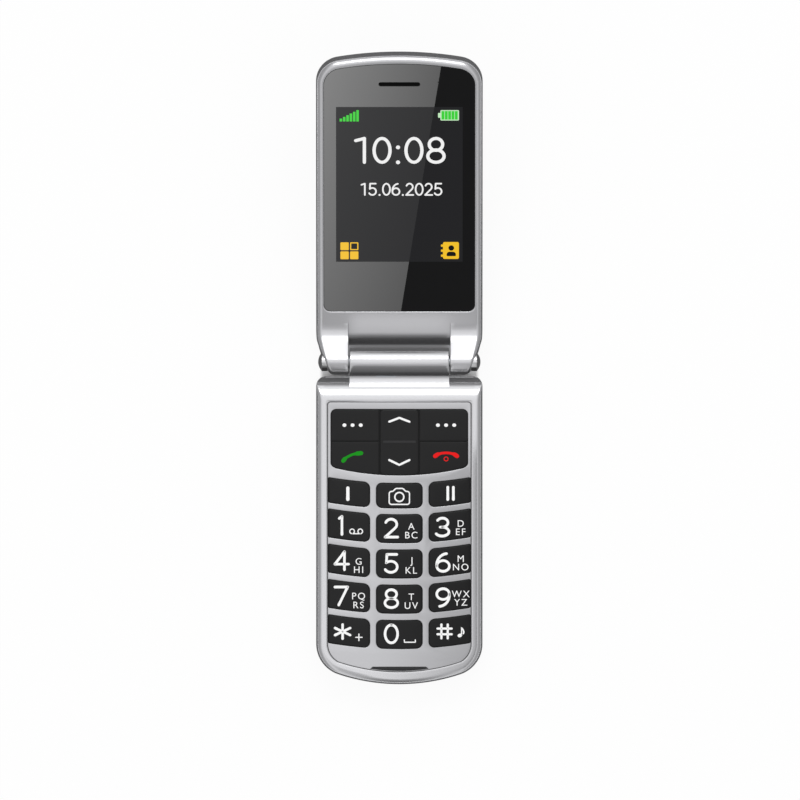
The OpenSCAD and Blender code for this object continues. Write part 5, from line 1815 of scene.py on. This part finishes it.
@dataclass
class Studio:
    """Floor, light and camera. Cards shape what the silver and the window reflect."""

    plan: Plan
    target: Triple = (0.2, 39.16, 10.0)
    camera_height: float = 9000.0
    tent_r: float = 40.0
    tent_sides: int = 48
    tent_rings: int = 24
    tent_crown: float = 89.9
    glare_reach: float = 14000.0
    view_width: float = 240.5
    sensor: float = 36.0
    floor_size: float = 60.0
    floor_share: float = 0.92
    shade_half_w: float = 23.5
    shade_half_l: float = 8.0
    foot_level: float = 0.12
    side_share: float = 0.22
    glare_level: float = 14.5
    glare_u: tuple[float, float] = (12.0, 99.0)
    glare_x: Triple = (-26.0, 0.0, 13.4)
    foot_card: tuple[Triple, ...] = (
        (-75, -95, 0.3), (75, -95, 0.3), (160, 130, 0.3), (160, 260, 0.3), (-160, 260, 0.3),
        (-160, 130, 0.3))
    side_card: tuple[Triple, ...] = (
        (-12, -80, 60), (45, -80, 60), (45, 24, 60), (-12, 24, 60))
    lamp_size: tuple[float, float] = (1.2, 0.6)
    lamp_power: float = 6.0
    lamp_place: Triple = (0.0, 1.0, 1.3)
    hinge_card_y: float = 46.4
    hinge_cards: dict[str, tuple[float, ...]] = field(default_factory=lambda: {
        "wide_hinge_card": (25.0, 1.0, 11.5, 0.04, 1.0),
        "lower_hinge_card": (14.9, 11.5, 17.5, 0.25, 0.3),
        "upper_hinge_card": (14.9, 17.5, 33.0, 0.95, 0.42),
    })

    def background(self, tree: Tree) -> Socket:
        """Adds a value that is 1 where the camera, a gloss or glass sees the background."""
        path = add_node(tree, "ShaderNodeLightPath")
        seen = maths(tree, "MAXIMUM", path.outputs["Is Camera Ray"], path.outputs["Is Glossy Ray"])
        return maths(tree, "MAXIMUM", seen, path.outputs["Is Transmission Ray"])

    def floor(self) -> None:
        """Lays the plain pale floor that the phone rests on."""
        size = self.floor_size
        mesh = bpy.data.meshes.new("floor")
        mesh.from_pydata([(-size, -size, 0), (size, -size, 0), (size, size, 0), (-size, size, 0)],
                         [], [(0, 1, 2, 3)])
        made = linked("floor", mesh)
        paint = blank_material("pale_floor")
        tree = paint.node_tree
        matt = add_node(tree, "ShaderNodeBsdfDiffuse", inputs={"Color": (0.9, 0.9, 0.9, 1.0)})
        white = add_node(tree, "ShaderNodeEmission", inputs={"Color": (1, 1, 1, 1), "Strength": 1.0})
        share = maths(tree, "MULTIPLY", self.background(tree), self.beside_hinge(tree))
        mix = add_node(tree, "ShaderNodeMixShader", {"Fac": share})
        tree.links.new(matt.outputs[0], mix.inputs[1])
        tree.links.new(white.outputs[0], mix.inputs[2])
        add_node(tree, "ShaderNodeOutputMaterial", {"Surface": mix.outputs[0]})
        mesh.materials.append(paint)
        made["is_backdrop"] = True

    def beside_hinge(self, tree: Tree) -> Socket:
        """Returns the floor's share of plain white: none in the shade under the hinge's gaps."""
        wide, long = self.shade_half_w, self.shade_half_l
        near = add_node(tree, "ShaderNodeMapping", {"Vector": own_place(tree)},
                        {"Location": (0.0, -self.plan.axis_y / long, 0.0),
                         "Scale": (1 / (wide * MM), 1 / (long * MM), 0.0)})
        parts = add_node(tree, "ShaderNodeSeparateXYZ", {"Vector": near.outputs["Vector"]})
        most = maths(tree, "MAXIMUM", *(maths(tree, "ABSOLUTE", parts.outputs[axis])
                                        for axis in ("X", "Y")))
        return add_node(tree, "ShaderNodeMapRange", {"Value": most},
                        {"From Min": 0.98, "From Max": 1.02, "To Min": 0.0,
                         "To Max": self.floor_share}).outputs["Result"]

    def world(self) -> None:
        """Sets an even white surround."""
        world = bpy.data.worlds.new("surround")
        bpy.context.scene.world = world
        world.use_nodes = True
        tree = world.node_tree
        tree.nodes.clear()
        level = add_node(tree, "ShaderNodeMapRange", {"Value": self.background(tree)},
                         {"To Min": 0.85, "To Max": 1.0})
        sky = add_node(tree, "ShaderNodeBackground", {"Strength": level.outputs["Result"]},
                       {"Color": (1, 1, 1, 1)})
        add_node(tree, "ShaderNodeOutputWorld", {"Surface": sky.outputs[0]})

    def glow(self, made: Piece, paint: bpy.types.Material) -> None:
        """Lets only glossy surfaces see a lit sheet of the studio."""
        made.data.materials.append(paint)
        made.visible_camera = False
        made.visible_diffuse = False
        made.visible_shadow = False
        made.visible_transmission = False
        made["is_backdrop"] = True

    def level_ramp(self, tree: Tree, value: Socket,
                   levels: dict[float, float]) -> Socket:
        """Adds a ramp from a slope, between plus and minus STEEPEST, to a brightness.

        Args:
            tree: the node tree.
            value: the slope.
            levels: brightness by slope, in rising order.

        Returns:
            The brightness as a colour socket.
        """
        share = add_node(tree, "ShaderNodeMapRange", {"Value": value},
                         {"From Min": -STEEPEST, "From Max": STEEPEST})
        ramp = add_node(tree, "ShaderNodeValToRGB", {"Fac": share.outputs["Result"]})
        stops = ramp.color_ramp.elements
        for i, (slope, level) in enumerate(levels.items()):
            place = (slope + STEEPEST) / (2 * STEEPEST)
            stop = stops[i] if i < 2 else stops.new(place)
            stop.position = place
            stop.color = (level, level, level, 1.0)
        return ramp.outputs["Color"]

    def tent(self) -> None:
        """Hangs the tent of graded cloth that shapes what the silver mirrors.

        A surface seen from above that leans by the slope (a, b) mirrors the tent where
        x / (r + z) = a and y / (r + z) = b, r being the distance. So two ramps over these
        slopes, one lengthwise and one across, say how bright each lean looks.
        """
        mesh = bpy.data.meshes.new("light_tent")
        radius, count = self.tent_r, self.tent_sides
        angle = np.radians(np.linspace(0, 360, count, endpoint=False))
        rise = np.radians(np.linspace(0, self.tent_crown, self.tent_rings))
        rings = [np.column_stack([np.cos(angle) * np.cos(e), np.sin(angle) * np.cos(e),
                                  np.full(count, np.sin(e))]) * radius for e in rise]
        points, faces = Loft().add(np.stack(rings), caps=(False, True)).data()
        mesh.from_pydata(points.tolist(), [], faces)
        made = linked("light_tent", mesh)
        made.location = [v * MM for v in self.target]
        paint = blank_material("light_tent")
        tree = paint.node_tree
        unit = add_node(tree, "ShaderNodeVectorMath", operation="NORMALIZE")
        tree.links.new(own_place(tree), unit.inputs[0])
        parts = add_node(tree, "ShaderNodeSeparateXYZ", {"Vector": unit.outputs["Vector"]})
        below = maths(tree, "ADD", parts.outputs["Z"], 1.0)
        slopes = [maths(tree, "DIVIDE", parts.outputs[axis], below) for axis in ("X", "Y")]
        across = self.level_ramp(tree, slopes[0], ACROSS)
        along = self.level_ramp(tree, slopes[1], ALONG)
        share = add_node(tree, "ShaderNodeMapRange", {"Value": maths(tree, "ABSOLUTE", slopes[0])},
                         {"From Min": 0.03, "From Max": 0.25}, interpolation_type="SMOOTHSTEP")
        both = add_node(tree, "ShaderNodeMix", data_type="RGBA")
        tree.links.new(share.outputs["Result"], both.inputs[0])
        tree.links.new(along, both.inputs[6])
        tree.links.new(across, both.inputs[7])
        light = add_node(tree, "ShaderNodeEmission", {"Color": both.outputs[2]})
        add_node(tree, "ShaderNodeOutputMaterial", {"Surface": light.outputs[0]})
        self.glow(made, paint)

    def card(self, name: str, corners: np.ndarray, level: float, low: float = 1.0,
             right: float = 1.0, one_sided: bool = False) -> None:
        """Hangs a card that only glossy surfaces see.

        Args:
            name: the card's name.
            corners: its corners in millimetres.
            level: how bright it looks at its upper left.
            low: share of that brightness at its lower end.
            right: share of that brightness at its right side.
            one_sided: whether only its front shows.
        """
        mesh = bpy.data.meshes.new(name)
        mesh.from_pydata((corners * MM).tolist(), [], [list(range(len(corners)))])
        made = linked(name, mesh)
        paint = blank_material(name)
        tree = paint.node_tree
        light = add_node(tree, "ShaderNodeEmission",
                         inputs={"Color": (1, 1, 1, 1), "Strength": level})
        if (low, right) != (1.0, 1.0):
            parts = add_node(tree, "ShaderNodeSeparateXYZ", {"Vector": own_place(tree)})
            shares = []
            for i, near, far in ((2, low * level, level), (0, 1.0, right)):
                ends = corners[:, i] * MM
                if np.ptp(ends) == 0:
                    shares.append(level if i == 2 else 1.0)
                    continue
                graded = add_node(tree, "ShaderNodeMapRange", {"Value": parts.outputs[i]},
                                  {"From Min": float(ends.min()), "From Max": float(ends.max()),
                                   "To Min": near, "To Max": far})
                shares.append(graded.outputs["Result"])
            tree.links.new(maths(tree, "MULTIPLY", *shares), light.inputs["Strength"])
        seen = light
        if one_sided:
            side = add_node(tree, "ShaderNodeNewGeometry")
            clear = add_node(tree, "ShaderNodeBsdfTransparent")
            seen = add_node(tree, "ShaderNodeMixShader", {"Fac": side.outputs["Backfacing"]})
            tree.links.new(light.outputs[0], seen.inputs[1])
            tree.links.new(clear.outputs[0], seen.inputs[2])
        add_node(tree, "ShaderNodeOutputMaterial", {"Surface": seen.outputs[0]})
        self.glow(made, paint)

    def glare(self) -> None:
        """Hangs the bright card that the window mirrors over its left part.

        Its corners are a shape on the window, enlarged from the camera's mirror image in the
        window's plane, so that its slanting edge shows where the shape's edge lies. It hangs so
        far off that the satin silver beside the window hardly sees it.
        """
        p = self.plan
        (low, high), (left, low_x, high_x), glass = self.glare_u, self.glare_x, Display.glass
        on_glass = p.on_lid(np.array([(left, low, glass), (low_x, low, glass),
                                      (high_x, high, glass), (left, high, glass)]))
        normal = np.array([0.0, -math.sin(math.radians(p.lean)), math.cos(math.radians(p.lean))])
        eye = np.array([self.target[0], self.target[1], self.camera_height])
        mirrored = eye - 2 * np.dot(eye - on_glass[0], normal) * normal
        corners = mirrored + (on_glass - mirrored) * (1 + self.glare_reach / self.camera_height)
        self.card("glare_card", corners, self.glare_level, low=0.6, right=0.45)

    def shade(self) -> None:
        """Lays the dark card round the foot and hangs the cards that shade keypad and hinge.

        The upright ones stand before the hinge: half width, lower and upper height, brightness
        at the top and the share of it at the bottom.
        """
        self.card("foot_card", np.array(self.foot_card, dtype=float), self.foot_level)
        self.card("side_card", np.array(self.side_card, dtype=float), 1.0, right=self.side_share)
        y = self.hinge_card_y
        for name, (x, low, high, level, share) in self.hinge_cards.items():
            flag = np.array([(x, y, low), (-x, y, low), (-x, y, high), (x, y, high)])
            self.card(name, flag, level, low=share, one_sided=True)

    def lamps(self) -> None:
        """Hangs the soft lamp over the hinge end."""
        light = bpy.data.lights.new("soft_lamp", "AREA")
        light.shape = "RECTANGLE"
        light.size, light.size_y = self.lamp_size
        light.energy = self.lamp_power
        made = linked("soft_lamp", light)
        spot = Vector(self.lamp_place)
        made.location = spot
        aim = Vector([v * MM for v in self.target]) - spot
        made.rotation_euler = aim.to_track_quat("-Z", "Y").to_euler()

    def camera(self) -> None:
        """Hangs the camera straight above, with a lens long enough to see almost parallel."""
        lens = bpy.data.cameras.new("camera")
        lens.type = "PERSP"
        lens.sensor_width = self.sensor
        lens.lens = (self.camera_height - self.target[2]) * self.sensor / self.view_width
        lens.clip_end = 100.0
        made = linked("camera", lens)
        made.location = (self.target[0] * MM, self.target[1] * MM, self.camera_height * MM)
        bpy.context.scene.camera = made

    def clear_mirrors(self) -> None:
        """Lets the silver mirror only the tent and its cards, not the phone's other pieces."""
        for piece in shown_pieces():
            piece.visible_glossy = False

    def build(self) -> None:
        """Sets up the whole studio."""
        self.camera()
        self.floor()
        self.world()
        self.lamps()
        self.tent()
        self.shade()
        self.glare()
        bpy.context.scene.view_settings.view_transform = "Standard"


def main() -> None:
    """Builds the phone piece by piece and sets up its studio."""
    logging.basicConfig(level=logging.INFO, format="%(name)s: %(message)s")
    plan = Plan.from_frame()
    shells = BaseShells(plan)
    studio = Studio(plan)
    studio.build()
    shells.build()
    Keypad(shells).build()
    LidShells(plan).build()
    Display(plan).build()
    dress_inside()
    studio.clear_mirrors()


if __name__ == "__main__":
    main()
